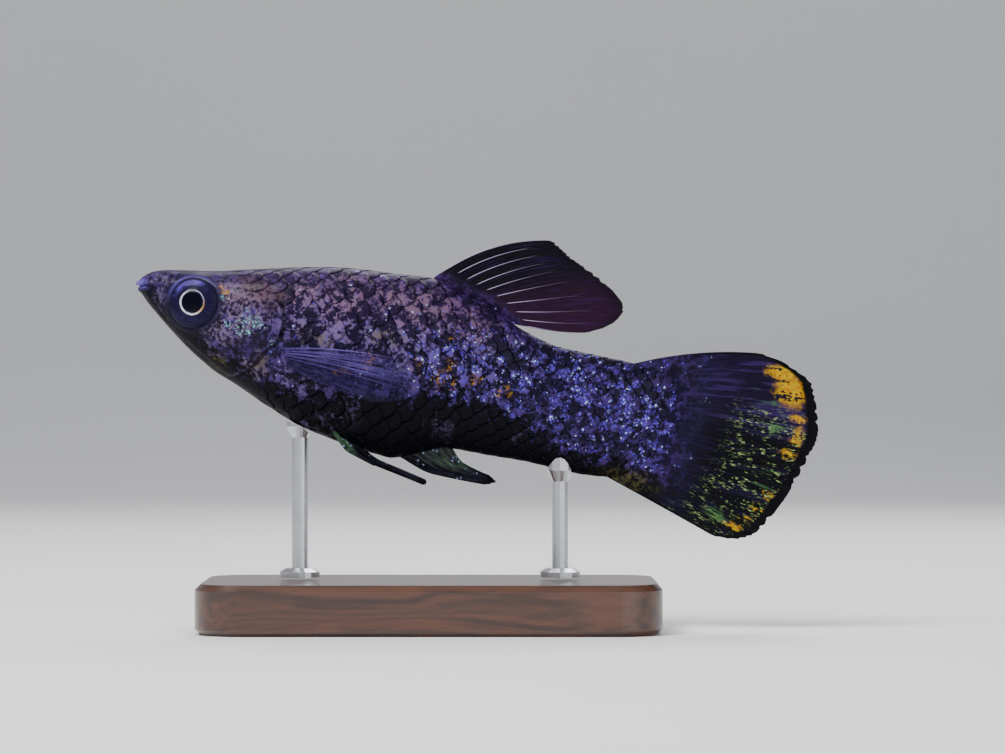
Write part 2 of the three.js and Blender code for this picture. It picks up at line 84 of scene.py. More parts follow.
# The body's sections: share of the standard length, height of back and belly as shares of the
# depth, and half width as a share of half the body's width. Past the tail stalk the flesh thins to
# a wedge inside the tail fin.
SECTIONS = [
    (0, 0.022, -0.011, 0.17),
    (0.007, 0.055, -0.024, 0.28),
    (0.026, 0.101, -0.072, 0.43),
    (0.046, 0.124, -0.115, 0.54),
    (0.086, 0.154, -0.194, 0.67),
    (0.128, 0.183, -0.269, 0.78),
    (0.174, 0.223, -0.333, 0.87),
    (0.229, 0.274, -0.387, 0.945),
    (0.288, 0.328, -0.446, 0.99),
    (0.367, 0.387, -0.511, 1),
    (0.459, 0.425, -0.54, 0.945),
    (0.527, 0.452, -0.548, 0.88),
    (0.578, 0.422, -0.489, 0.79),
    (0.628, 0.395, -0.417, 0.71),
    (0.712, 0.304, -0.395, 0.6),
    (0.78, 0.271, -0.376, 0.53),
    (0.862, 0.282, -0.37, 0.43),
    (0.927, 0.29, -0.344, 0.31),
    (0.972, 0.28, -0.31, 0.17),
    (1.02, 0.2, -0.22, 0.06),
]
BODY_END = SECTIONS[-1][0] * STANDARD_LENGTH
WIDEST_AT = 0.54
BACK_FULLNESS = [(0, 2.3), (0.1, 2.7), (0.3, 2.25), (0.6, 2), (1.05, 2)]
BELLY_FULLNESS = [(0, 2.2), (0.12, 1.9), (0.35, 2.1), (0.55, 1.9), (1.05, 2)]
SKIN_SIDES = 168
# Where each stretch of the skin ends along the fish, and the step between its rings
SKIN_STEPS = [(2.6, 0.07), (10, 0.12), (16.5, 0.15), (BODY_END, 0.4)]
SKIN_INSET = 0.08  # the skin lies under the solids by the depth of the scales
NOSE_ROUND = 0.45  # length over which the snout's tip rounds off
NOSE_RINGS = 10

# Head
EYE = {"x": 6.3, "z": -0.19, "sunk": 0.35, "depth": 0.9, "forward": math.radians(11)}
MOUTH_LINE = [(-0.5, -0.21), (0.3, -0.12), (1.25, 0.3), (1.6, 0.05), (1.85, -0.45)]
MOUTH_DEPTH, MOUTH_WIDTH = 0.28, 0.1
MOUTH_END = (1.5, 2.0)  # the mouth's groove and the lips fade out between two places
LIPS_END = (1.5, 2.4)
LIP_HEIGHT, LIP_OFFSET, LIP_SPREAD = 0.17, 0.36, 0.24
LOWER_LIP = 0.6  # share of the upper lip's height
ORBIT_HEIGHT, ORBIT_RADIUS, ORBIT_SPREAD = 0.1, 2.7, 0.28
EYE_HOLLOW = 0.75
HOLLOW_EDGE = (0.17, 0.02)  # the hollow's wall, inside and outside the eye's edge
PUPIL_RADIUS = 1.0
PUPIL_RING = 1.2
IRIS_DROP, RING_HEIGHT, RING_SPREAD = 0.1, 0.07, 0.12
EYE_REAR = (-0.45, -0.5)  # the eye's last ring and its rear pole, from its middle
EYE_RINGS, EYE_SIDES = 40, 72
NOSTRILS = [(2.3, 1.15, 0.2), (3.3, 1.75, 0.14)]  # x, z and radius of each hole
NOSTRIL_DEPTH, NOSTRIL_RIM = 0.3, 0.07
GILL_HEIGHT, GILL_GROOVE = 0.24, 0.16
GILL_RISE = (8.4, 11.6)  # along the fish
GILL_DROP = (-0.22, 0.04)  # past the gill cover's edge
GROOVE_BEHIND, GROOVE_SPREAD = 0.16, 0.15
# The gill cover's free edge: height, and place along the fish
GILL_EDGE = [
    (-6.4, 11.7),
    (-5.5, 12.9),
    (-4.6, 13.6),
    (-3, 14.4),
    (-1.4, 15.4),
    (0.2, 15.45),
    (1.6, 14.8),
    (2.6, 13.4),
]
# Creases in the skin of the head: depth, width and the line they follow
HEAD_CREASES = [
    (0.09, 0.16, [(1.9, -0.6), (2.7, -1.6), (4.0, -2.7)]),
    (0.07, 0.2, [(9.4, 2.2), (9.75, 0.2), (9.6, -2.4), (8.6, -4.2)]),
    (0.07, 0.16, [(6.4, -4.3), (9.4, -5.7), (11.6, -6.5)]),
    (0.05, 0.14, [(3.6, 0.9), (3.2, -0.6), (3.7, -2.0)]),
]

# Fins
GAP = 0.3  # room between a fin's solid and the flesh
# Where the first ray of a fin starts, and how far on the last one is
DORSAL_ROOT = (28.9, 9.3)
ANAL_ROOT = (29.4, 4.7)
PELVIC_ROOT = (24.4, -1.6)
PELVIC_LEAN = math.radians(35)
PECTORAL_ROOT, PECTORAL_SLANT = (15.85, -2.4), (0.65, -1.4)  # in x and z
PECTORAL_SUNK, PECTORAL_SPREAD = 0.5, 2.6  # how deep its root lies, and how far its tips stand off
PELVIC_OFF, PELVIC_SPREAD = (0.8, 0.9), (0.3, 0.8)  # off the middle, and further out at the tips
PELVIC_CLEAR = 0.4  # further room under the belly
RISE_SPAN = (0.42, -0.06)  # shares over which a raised root falls off
# The tail fin's root is an arc of so many degrees each way
TAIL_ROOT_CENTRE = (47.5, -0.2)
TAIL_ROOT_RADIUS = 8.0
TAIL_ROOT_TURN = 54
MEMBRANE_HALF, MEMBRANE_TAPER = 0.07, 0.4
FLARE_AT = 0.02  # share of a fin's reach at which its fleshy root is thickest
FIN_NOTCH, FIN_WEAR = 0.015, 0.012
FIN_ROWS, FIN_COLUMNS = 44, 8  # rows in all, and columns from ray to ray
FIN_STREAKS, STREAK_STRETCH = 34.0, 0.06
RAY_SIDES = 6
RAY_END = 0.97  # share of a fin's reach at which its rays end
TIP_START = 0.93  # and at which their round tips start
STEM_TAPER, PLAIN_TAPER, STOUT_TAPER = 0.35, 0.6, 0.25
STOUT_EXTRA = 0.8  # how much more than a plain ray a stout one measures across
STOUT_CUT = 0.06  # how far a membrane stops short of its stout rays
ARM_SPREAD, TWIG_SPREAD = 0.25, 0.125  # in spaces between rays
ARM_RADIUS, TWIG_RADIUS, BRANCH_TAPER = 0.62, 0.4, 0.2  # shares of the ray's own radius
LAST_FORK = 0.95  # a ray that splits past this share has no twigs
DASHES_ACROSS, DASHES_ALONG = 34, 4.6
# Patches of the tail fin: centre along and up the fish, and how far they reach each way
TAIL_YELLOW = [(64.7, 8.2, 1.5, 0.7), (66.3, 6.7, 1.6, 1.4)]
TAIL_GOLD = [
    (67.5, 4.2, 0.8, 0.35),
    (67.9, 2.3, 0.5, 0.9),
    (67.6, 0.6, 0.8, 0.45),
    (66.6, -3.9, 0.5, 0.35),
    (65.9, -5.6, 0.6, 0.35),
    (64.9, -6.9, 0.5, 0.4),
    (64.0, -7.9, 0.8, 0.35),
]
TAIL_GREEN = [(63.6, 5.6, 1.5, 0.6), (65.4, 2.8, 0.8, 0.4), (65.8, -2.6, 1.2, 0.9), (61.8, -7.3, 1.1, 0.7)]

# Scales
SCALE_ROWS = 34  # round the body
SCALE_PITCH = [(8, 1.75), (25, 1.95), (40, 1.7), (54, 1.35)]  # along the body
SCALES_END = 54.6
SCALE_LENGTH = 0.92  # reach of a scale each way from its root, in pitches
SCALE_HEIGHT = 1.12  # and up and down, in row heights
SCALE_SIDES = 14
SCALE_SEED = 7
# Where scales begin along the fish: at the back (0), down the side and at the belly (1)
SCALE_FRONT = [(0, 8.4), (0.2, 9.8), (0.34, 15.6), (0.6, 15.8), (0.72, 15.2), (0.86, 13.6), (1, 13.2)]
SCALE_LIFT = 0.045
SCALE_VARIETY = 0.06  # how far the scales' sizes differ
SECTION_READS = 401  # points read round a section
ROOT_TURN, ROOT_STEP = 0.002, 0.05  # steps over which a root's directions are read
# A scale's plate: its rings, and its heights in lifts
PLATE_RINGS = (0.5, 0.82, 1.0)
PLATE_ROOT, PLATE_RISE, PLATE_CROWN, PLATE_UNDERSIDE = -0.5, 1.35, 0.35, -1.2
BAKE_PATCH = 0.021  # a scale's patch in the bake's map, as large as fits between its neighbours


# Curves and shapes


def curve_through(keys):
    """A smooth curve through (place, value) pairs that never overshoots them."""
    places, values = np.array(keys, float).T
    width = np.diff(places)
    slope = np.diff(values) / width
    tangent = np.concatenate([slope[:1], np.zeros(len(slope) - 1), slope[-1:]])
    climbs = slope[:-1] * slope[1:] > 0
    product = (slope[:-1] * slope[1:])[climbs]
    tangent[1:-1][climbs] = 2 * product / (slope[:-1] + slope[1:])[climbs]

    def at(place):
        i = np.clip(np.searchsorted(places, place, side="right") - 1, 0, len(width) - 1)
        t = np.clip((place - places[i]) / width[i], 0, 1)
        start = (1 + 2 * t) * (1 - t) ** 2
        end = t * t * (3 - 2 * t)
        lean = t * (1 - t) ** 2 * tangent[i] - t * t * (1 - t) * tangent[i + 1]
        return start * values[i] + end * values[i + 1] + width[i] * lean

    return at


def section_curve(column, scale):
    return curve_through([(row[0] * STANDARD_LENGTH, row[column] * scale) for row in SECTIONS])


def along_body(keys):
    return curve_through([(share * STANDARD_LENGTH, value) for share, value in keys])


back_at = section_curve(1, BODY_DEPTH)
belly_at = section_curve(2, BODY_DEPTH)
half_width_at = section_curve(3, BODY_WIDTH / 2)
back_fullness_at = along_body(BACK_FULLNESS)
belly_fullness_at = along_body(BELLY_FULLNESS)


def level_at(x):
    """Height of the body's widest point."""
    return belly_at(x) + WIDEST_AT * (back_at(x) - belly_at(x))


def side_at(x, z):
    """Half the body's width at a height."""
    rise = z - level_at(x)
    reach = np.where(rise > 0, back_at(x) - level_at(x), level_at(x) - belly_at(x))
    fullness = np.where(rise > 0, back_fullness_at(x), belly_fullness_at(x))
    share = np.minimum(np.abs(rise) / reach, 1) ** fullness
    return half_width_at(x) * (1 - share) ** (1 / fullness)


def belly_surface(x, y):
    """Height of the belly's surface at a distance from the middle."""
    fullness = belly_fullness_at(x)
    share = np.minimum(np.abs(y) / half_width_at(x), 1) ** fullness
    return level_at(x) - (level_at(x) - belly_at(x)) * (1 - share) ** (1 / fullness)


def smooth_step(value, start, end):
    t = np.clip((value - start) / (end - start), 0, 1)
    return t * t * (3 - 2 * t)


def bump(distance, spread):
    return np.exp(-((distance / spread) ** 2))


def from_line(x, z, line):
    """Distance of points from a line of straight stretches in the side view."""
    nearest = np.full(np.shape(x), np.inf)
    for (x0, z0), (x1, z1) in zip(line, line[1:]):
        dx, dz = x1 - x0, z1 - z0
        t = np.clip(((x - x0) * dx + (z - z0) * dz) / (dx * dx + dz * dz), 0, 1)
        nearest = np.minimum(nearest, np.hypot(x - x0 - t * dx, z - z0 - t * dz))
    return nearest


def ring_turns(count):
    """Turns of the points on a ring that closes on itself."""
    return np.linspace(0, 2 * math.pi, count, endpoint=False)


def body_points(x, turn):
    """Points of the plain body. turn goes once round the section from the back."""
    cosine, sine = np.cos(turn), np.sin(turn)
    level = level_at(x)
    fullness = np.where(cosine > 0, back_fullness_at(x), belly_fullness_at(x))
    nose = np.sqrt(np.clip(1 - (1 - np.minimum(x / NOSE_ROUND, 1)) ** 2, 0, 1))
    reach = np.where(cosine > 0, back_at(x) - level, level - belly_at(x)) * nose
    half = half_width_at(x) * nose
    y = half * np.sign(sine) * np.abs(sine) ** (2 / fullness)
    z = level + reach * np.sign(cosine) * np.abs(cosine) ** (2 / fullness)
    return np.stack([np.broadcast_to(x, y.shape), y, z], axis=-1)


def grid_normals(points):
    """Outward normals of a grid of points, whose second axis closes on itself."""
    along = np.gradient(points, axis=0)
    around = np.roll(points, -1, axis=1) - np.roll(points, 1, axis=1)
    normals = np.cross(along, around)
    length = np.linalg.norm(normals, axis=-1, keepdims=True)
    return normals / np.maximum(length, 1e-9)


def placed(points):
    """Points of the fish's frame in the row frame, in metres."""
    flat = np.reshape(points, (-1, 3))
    turn = np.array(FISH_TO_WORLD)
    return flat @ turn[:3, :3].T + turn[:3, 3]


def mesh_object(name, points, faces, material=None, edges=()):
    mesh = bpy.data.meshes.new(name)
    mesh.from_pydata([tuple(p) for p in points], list(edges), faces)
    mesh.update()
    made = bpy.data.objects.new(name, mesh)
    bpy.context.scene.collection.objects.link(made)
    if material:
        mesh.materials.append(material)
    return made


def shade_smooth(piece):
    piece.data.shade_smooth()
    return piece


def set_corner_map(mesh, name, per_vertex):
    """A UV map whose value at a corner is that of the corner's vertex."""
    layer = mesh.uv_layers.new(name=name)
    corners = np.empty(len(mesh.loops), np.int32)
    mesh.loops.foreach_get("vertex_index", corners)
    layer.data.foreach_set("uv", np.asarray(per_vertex, np.float32)[corners].ravel())


def set_attribute(mesh, name, values, kind="FLOAT"):
    attribute = mesh.attributes.new(name, kind, "POINT")
    key = "vector" if kind == "FLOAT_VECTOR" else "value"
    attribute.data.foreach_set(key, np.asarray(values, np.float32).ravel())


def finished(piece, *nodes, slot=None):
    """Rides a piece on the fish and lets it stand for its CAD nodes."""
    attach(piece, "root")
    if nodes:
        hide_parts(*nodes)
    return piece


# Nodes


class Board:
    """Adds nodes to a tree. Inputs are sockets or plain values."""

    def __init__(self, tree):
        self.tree = tree

    def add(self, kind, inputs=None, **settings):
        node = self.tree.nodes.new(kind)
        for name, value in settings.items():
            setattr(node, name, value)
        self.wire(node, inputs or {})
        return node

    def wire(self, node, inputs):
        """Links or sets a node's inputs by name or number."""
        for key, value in inputs.items():
            self.put(node.inputs[key], value)

    def put(self, socket, value):
        if isinstance(value, bpy.types.NodeSocket):
            self.tree.links.new(value, socket)
        else:
            socket.default_value = value

    def math(self, operation, *values, clamp=False):
        inputs = dict(enumerate(values))
        return self.add("ShaderNodeMath", inputs, operation=operation, use_clamp=clamp).outputs[0]

    def times(self, first, *others):
        for other in others:
            first = self.math("MULTIPLY", first, other)
        return first

    def minus(self, first, second):
        return self.math("SUBTRACT", first, second)

    def scaled(self, value, factor, start):
        return self.math("MULTIPLY_ADD", value, factor, start)

    def swayed(self, value, noise, reach):
        """A value pushed up and down by noise round a half."""
        return self.scaled(self.minus(noise, 0.5), reach, value)

    def apart(self, value, middle):
        """How far a value is from a middle one."""
        return self.math("ABSOLUTE", self.minus(value, middle))

    def vector(self, operation, *values, output="Vector"):
        inputs = dict(enumerate(values))
        return self.add("ShaderNodeVectorMath", inputs, operation=operation).outputs[output]

    def stretched(self, value, scale):
        """A vector times a number for each axis, or one for all three."""
        if not isinstance(scale, tuple):
            scale = (scale, scale, scale)
        return self.vector("MULTIPLY", value, scale)

    def lengthened(self, value, factor):
        """A vector times a number that varies."""
        return self.add("ShaderNodeVectorMath", {0: value, "Scale": factor}, operation="SCALE").outputs[0]

    def length(self, value):
        return self.vector("LENGTH", value, output="Value")

    def ramp(self, value, low, high, start=0.0, end=1.0):
        """A smooth step of value from start at low to end at high."""
        inputs = {"Value": value, 1: low, 2: high, 3: start, 4: end}
        return self.add("ShaderNodeMapRange", inputs, interpolation_type="SMOOTHSTEP").outputs[0]

    def mix(self, factor, first, second, blend="MIX"):
        inputs = {0: factor, 6: first, 7: second}
        return self.add("ShaderNodeMix", data_type="RGBA", blend_type=blend, inputs=inputs).outputs[2]

    def lay(self, shown, tone, *masks):
        """Lays a colour over what is shown, as far as the product of the masks goes."""
        return self.mix(self.times(*masks), shown, tone)

    def noise(self, place, scale, detail=3.0, roughness=0.6, output="Fac"):
        inputs = {"Vector": place, "Scale": scale, "Detail": detail, "Roughness": roughness}
        return self.add("ShaderNodeTexNoise", inputs).outputs[output]

    def ragged(self, place, scale, roughness, reach):
        """A place pushed about by noise, which frays the edge of any patch."""
        warp = self.noise(place, scale, 4, roughness, output="Color")
        return self.vector("MULTIPLY_ADD", self.vector("SUBTRACT", warp, (0.5, 0.5, 0.5)), reach, place)

    def attribute(self, name):
        """A number kept at each vertex of a piece."""
        return self.add("ShaderNodeAttribute", attribute_name=name).outputs["Fac"]

    def object_place(self):
        return self.add("ShaderNodeTexCoord").outputs["Object"]

    def parts(self, value):
        """The X, Y and Z of a vector."""
        return self.add("ShaderNodeSeparateXYZ", {"Vector": value}).outputs

    def joined(self, x, y=0.0, z=0.0):
        return self.add("ShaderNodeCombineXYZ", {"X": x, "Y": y, "Z": z}).outputs[0]

    def group(self, tree, inputs=None):
        """Places a shader group and gives its outputs."""
        return self.add("ShaderNodeGroup", inputs, node_tree=tree).outputs


def colour(red, green, blue):
    """A colour given in steps from 0 to 255, made linear."""

    def linear(value):
        value /= 255
        return value / 12.92 if value <= 0.04045 else ((value + 0.055) / 1.055) ** 2.4

    return (linear(red), linear(green), linear(blue), 1)


def shader_group(name, inputs, outputs):
    """A new shader group: its board, the sockets that lead in and the node that leads out."""
    tree = bpy.data.node_groups.new(name, "ShaderNodeTree")
    for label, kind, value in inputs:
        socket = tree.interface.new_socket(name=label, in_out="INPUT", socket_type=kind)
        if value is not None:
            socket.default_value = value
    for label, kind in outputs:
        tree.interface.new_socket(name=label, in_out="OUTPUT", socket_type=kind)
    board = Board(tree)
    return board, board.add("NodeGroupInput").outputs, board.add("NodeGroupOutput")


def fish_place_group():
    """Where a point lies in the fish's own frame, in millimetres."""
    outputs = [("Place", "NodeSocketVector"), ("Along", "NodeSocketFloat"), ("Height", "NodeSocketFloat")]
    board, _, out = shader_group("Fish place", [], outputs)
    from_snout = board.vector("SUBTRACT", board.object_place(), tuple(SNOUT))
    rear = (math.cos(NOSE_UP) / MM, 0, -math.sin(NOSE_UP) / MM)
    up = (math.sin(NOSE_UP) / MM, 0, math.cos(NOSE_UP) / MM)
    along, side, height = [
        board.vector("DOT_PRODUCT", from_snout, axis, output="Value") for axis in (rear, (0, 1 / MM, 0), up)
    ]
    board.wire(out, {"Place": board.joined(along, side, height), "Along": along, "Height": height})
    return board.tree


def glints_group():
    """Small bright specks: which points they cover, and two random numbers for each speck."""
    inputs = [
        ("Place", "NodeSocketVector", None),
        ("Size", "NodeSocketFloat", 0.3),
        ("Share", "NodeSocketFloat", 0.3),
        ("Edge", "NodeSocketFloat", 0.45),
    ]
    outputs = [("Mask", "NodeSocketFloat"), ("Pick", "NodeSocketFloat"), ("Facet", "NodeSocketFloat")]
    board, given, out = shader_group("Glints", inputs, outputs)
    wobble = board.noise(given["Place"], 2.2, 2, output="Color")
    wobble = board.vector("MULTIPLY_ADD", wobble, (0.5, 0.5, 0.5), given["Place"])
    scale = board.math("DIVIDE", 1, given["Size"])
    cells = board.add("ShaderNodeTexVoronoi", {"Vector": wobble, "Scale": scale, "Randomness": 1.0})
    random = board.parts(cells.outputs["Color"])
    least = board.minus(1, given["Share"])
    chosen = board.ramp(board.minus(random["X"], least), 0, 0.05)
    inside = board.ramp(cells.outputs["Distance"], board.times(given["Edge"], 0.45), given["Edge"], 1, 0)
    board.wire(out, {"Mask": board.times(chosen, inside), "Pick": random["Y"], "Facet": random["Z"]})
    return board.tree


def cloud_group():
    """A soft patch round a centre in the side view: 1 inside and 0 outside."""
    inputs = [
        ("Place", "NodeSocketVector", None),
        ("Centre", "NodeSocketVector", (0, 0, 0)),
        ("Reach", "NodeSocketVector", (1, 1, 1)),
        ("Soft", "NodeSocketFloat", 0.4),
    ]
    board, given, out = shader_group("Cloud", inputs, [("Mask", "NodeSocketFloat")])
    apart = board.vector("SUBTRACT", given["Place"], given["Centre"])
    apart = board.vector("DIVIDE", apart, given["Reach"])
    far = board.length(board.stretched(apart, IN_SIDE_VIEW))
    inner = board.minus(1, given["Soft"])
    outer = board.math("ADD", 1, given["Soft"])
    board.put(out.inputs["Mask"], board.ramp(far, inner, outer, 1, 0))
    return board.tree


FISH_PLACE = fish_place_group()
GLINTS = glints_group()
CLOUD = cloud_group()

# Colours of the living fish
BLACK = colour(4, 4, 10)
INK = colour(7, 7, 14)
FIN_RIM = colour(4, 4, 8)
FLANK_SHADE = colour(22, 14, 40)
BACK_SHADE = colour(40, 24, 60)
REAR_SHADE = colour(16, 10, 34)
REAR_VIOLET = colour(62, 44, 106)
HEAD_SHADE = colour(22, 13, 42)
HEAD_VIOLET = colour(58, 38, 96)
THROAT = colour(12, 8, 24)
CHEEK_LILAC = colour(108, 90, 116)
CHEEK_SHADE = colour(16, 11, 28)
LIP_VIOLET = colour(126, 106, 206)
SCALE_RIM = colour(24, 18, 40)
MID_VIOLET = colour(56, 38, 92)
MAUVE = colour(74, 46, 104)
PALE_VIOLET = colour(106, 88, 128)
BRIGHT_VIOLET = colour(106, 80, 208)
BEIGE = colour(128, 98, 122)
WARM_BROWN = colour(94, 68, 78)
STEEL_BLUE = colour(60, 42, 168)
ICE_BLUE = colour(186, 208, 255)
TURQUOISE = colour(130, 206, 198)
GOLD = colour(150, 106, 8)
OLIVE = colour(96, 90, 40)
# Eye
ORBIT_SHADE = colour(24, 17, 44)
# Painted highlight on the upper front of the orbit's rim
ORBIT_PAINTED_HIGHLIGHT = colour(96, 78, 168)
PUPIL = colour(7, 7, 19)
IRIS_SHADE = colour(10, 7, 26)
IRIS_VIOLET = colour(27, 17, 62)
# Painted reflection on the iris's upper front
IRIS_PAINTED_REFLECTION = colour(90, 70, 168)
IRIS_LOW = colour(60, 50, 104)
IRIS_EDGE = colour(22, 15, 42)
RING_SILVER = colour(226, 228, 236)
RING_AMBER = colour(222, 168, 92)
# Fins
DORSAL_BLACK = colour(8, 7, 16)
MAROON = colour(36, 12, 36)
RAY_LILAC = colour(186, 170, 204)
TAIL_VIOLET = colour(18, 10, 34)
TAIL_ROOT_VIOLET = colour(18, 12, 38)
TAIL_RAY = colour(120, 108, 170)
YELLOW = colour(182, 150, 0)
AMBER = colour(168, 98, 0)
LEAF_GREEN = colour(66, 112, 52)
PALE_GREEN = colour(166, 186, 116)
LOW_FIN_BLACK = colour(10, 10, 18)
LOW_FIN_GREY = colour(32, 30, 48)
LOW_FIN_GREEN = colour(96, 138, 92)
CLEAR_SHADE = colour(22, 15, 44)
CLEAR_VIOLET = colour(46, 34, 84)
CLEAR_BRIGHT = colour(96, 76, 156)
CLEAR_RAY = colour(118, 102, 184)
CLEAR_TIP = colour(22, 18, 48)
# Stand and studio
WOOD_DARK = colour(46, 24, 15)
WOOD_LIGHT = colour(84, 48, 29)
WOOD_PORE = colour(28, 15, 10)
STEEL_GREY = colour(176, 178, 182)
STEEL_PALE = colour(208, 210, 214)
PAPER_GREY = colour(232, 232, 233)
PAPER_PALE = colour(238, 238, 239)

# Where the markings change, along the fish or in height: from and to
HEAD_FADE = (9.5, 7.0)
BACK_FADE = (42, 30)
BACK_HEIGHT = (1.0, 4.5)
THROAT_HEIGHT = (1.5, -0.2)
FLANK_GLITTER = (13, 18)
EDGED_SCALES = (40, 26)
EDGED_HEIGHT = (0.5, 3.5)
GILL_TOP = (2.6, 1.6)
GILL_FOOT = (-6.6, -5.6)
# Patches of the markings: centre along and up the fish, and how far they reach each way
BACK_BEIGE = [(27.5, 5.2, 4.8, 2.2), (20.6, 4.4, 2.2, 2.6), (33.5, 4.0, 2.6, 2.0), (16.4, 3.4, 1.8, 1.6)]
FLANK_GREY = [(20.5, 0.8, 5.5, 3.0), (29, 1.4, 5.5, 3.0), (36, 1.6, 5, 2.6), (18.5, -4.4, 2.2, 1.6)]
LIP_PALE = [(0.35, 0.3, 0.9, 0.5)]
HEAD_PALE = [(2.9, -0.2, 0.6, 1.3), (2.2, 1.3, 1.4, 0.4), (9.2, 2.4, 1.5, 0.8)]
CHEEK_BROWN = [(10.0, 1.6, 1.2, 1.0), (12.4, 2.4, 2.2, 1.2)]
CHEEK_PALE = [(11.2, 0.2, 2.6, 2.0), (10.0, -2.0, 1.8, 1.4), (8.4, -4.4, 1.2, 0.7), (13.6, -5.0, 1.6, 0.7)]
CHEEK_DARK = [(7.3, -3.3, 1.6, 0.9), (11.2, -3.9, 1.5, 0.8), (13.2, -2.7, 1.1, 0.8), (8.9, -1.6, 0.7, 0.9)]
CHEEK_GLITTER = [
    (12.4, -0.5, 1.5, 0.6),
    (10.9, -1.5, 1.3, 0.6),
    (9.0, 1.1, 0.8, 0.45),
    (15.0, -1.9, 0.5, 0.5),
]
OLIVE_SPOTS = [
    (10.2, -5.0, 0.9, 0.55),
    (14.1, -4.4, 0.8, 1.0),
    (18.7, -0.6, 1.5, 0.7),
    (25.4, 1.4, 1.7, 0.7),
]
BELLY_GREY = [(20.6, -8.6, 2.2, 0.8), (23.2, -6.4, 1.3, 1.6), (33.0, -5.4, 1.1, 1.3), (41.0, -5.6, 0.8, 0.8)]
GOLD_SPOTS = [
    (9.2, 1.5, 0.4, 0.4),
    (24.6, -1.4, 0.6, 0.5),
    (22.4, -2.8, 0.6, 0.35),
    (32.3, 0.3, 0.4, 0.8),
    (31.8, -1.3, 0.35, 0.8),
    (33.3, -1.0, 0.3, 0.7),
    (35.5, -0.2, 0.45, 0.5),
    (31.9, 2.7, 0.35, 0.4),
    (29.4, -0.6, 0.4, 0.6),
    (38.4, -0.8, 0.35, 0.4),
]
REAR_GLITTER = [(34.5, 0.8, 5.5, 3.4), (42, 0.6, 5.5, 4.2), (48.5, 0.4, 4.2, 4.6), (53.5, -0.4, 2.0, 3.6)]
STALK_GREEN = [(52.6, -6.1, 3.2, 0.9)]
# The lower edge of the flank's colours, below which the fish is black
BELLY_EDGE = [
    (0, -0.35),
    (2, -0.9),
    (4, -2.0),
    (8, -3.6),
    (11, -4.7),
    (14.5, -5.9),
    (18.7, -6.2),
    (23.5, -5.0),
    (28.3, -3.9),
    (33.2, -2.8),
    (38.1, -2.7),
    (44.4, -4.3),
    (49, -4.9),
    (53.5, -5.2),
]


def clouds(board, place, patches, soft=0.45):
    """Where any of several patches lies."""
    found = 0.0
    for x, z, long, high in patches:
        inputs = {"Place": place, "Centre": (x, 0, z), "Reach": (long, 1, high), "Soft": soft}
        found = board.math("MAXIMUM", found, board.group(CLOUD, inputs)["Mask"])
    return found


def line_through(board, value, keys):
    """The smooth line through (place, value) keys, held at both ends."""
    first, last = keys[0][0], keys[-1][0]
    low = min(reach for _, reach in keys)
    span = max(reach for _, reach in keys) - low
    share = board.math("DIVIDE", board.minus(value, first), last - first, clamp=True)
    node = board.add("ShaderNodeFloatCurve", {"Value": share})
    curve = node.mapping.curves[0]
    places = [((place - first) / (last - first), (reach - low) / span) for place, reach in keys]
    curve.points[0].location = places[0]
    curve.points[-1].location = places[-1]
    for place in places[1:-1]:
        curve.points.new(*place)
    node.mapping.update()
    return board.scaled(node.outputs[0], span, low)


def base_marks(board, along, height, noises):
    """The ground colour of back, flank and head, before glitter."""
    ragged, mottle, fine = noises
    lit = board.ramp(mottle, 0.44, 0.6)
    speckled = board.ramp(mottle, 0.5, 0.6)
    shown = board.mix(lit, FLANK_SHADE, MID_VIOLET)
    on_back = board.times(board.ramp(height, *BACK_HEIGHT), board.ramp(along, *BACK_FADE))
    shown = board.lay(shown, board.mix(lit, BACK_SHADE, MAUVE), on_back, 0.8)
    shown = board.lay(shown, PALE_VIOLET, clouds(board, ragged, FLANK_GREY, 0.6), speckled, 0.85)
    shown = board.lay(shown, BEIGE, clouds(board, ragged, BACK_BEIGE, 0.6), speckled, 0.85)
    on_head = board.ramp(along, *HEAD_FADE)
    shown = board.lay(shown, board.mix(lit, HEAD_SHADE, HEAD_VIOLET), on_head, 0.9)
    shown = board.lay(shown, THROAT, on_head, board.ramp(height, *THROAT_HEIGHT), 0.85)
    shown = board.lay(shown, WARM_BROWN, clouds(board, ragged, CHEEK_BROWN, 0.6), board.ramp(fine, 0.4, 0.55))
    pale = board.ramp(fine, 0.46, 0.58)
    shown = board.lay(shown, CHEEK_LILAC, clouds(board, ragged, CHEEK_PALE, 0.5), pale, 0.9)
    dark = board.ramp(fine, 0.62, 0.5)
    shown = board.lay(shown, CHEEK_SHADE, clouds(board, ragged, CHEEK_DARK, 0.4), dark, 0.8)
    head = board.ramp(fine, 0.4, 0.58)
    shown = board.lay(shown, PALE_VIOLET, clouds(board, ragged, HEAD_PALE, 0.7), head, 0.55)
    rear = clouds(board, ragged, REAR_GLITTER, 0.5)
    return board.lay(shown, board.mix(lit, REAR_SHADE, REAR_VIOLET), rear, 0.55)


def lower_marks(board, shown, place, along, height, noises):
    """The black underside with its few smudges. Gives the colour and where it is black."""
    ragged, mottle, fine = noises
    lift = board.minus(height, line_through(board, along, BELLY_EDGE))
    under = board.ramp(board.swayed(lift, mottle, 6.0), 1.1, -0.6)
    shown = board.lay(shown, INK, under)
    smudge = board.ramp(mottle, 0.52, 0.68)
    shown = board.lay(shown, PALE_VIOLET, clouds(board, ragged, BELLY_GREY, 0.9), smudge, 0.5)
    spots = board.ramp(mottle, 0.45, 0.6)
    shown = board.lay(shown, OLIVE, clouds(board, ragged, OLIVE_SPOTS, 0.6), spots, 0.55)
    shown = board.lay(shown, OLIVE, clouds(board, ragged, STALK_GREEN), board.ramp(fine, 0.45, 0.6), 0.4)
    lips = board.ramp(fine, 0.35, 0.6, 0.15, 0.75)
    return board.lay(shown, LIP_VIOLET, clouds(board, place, LIP_PALE, 0.7), lips), under


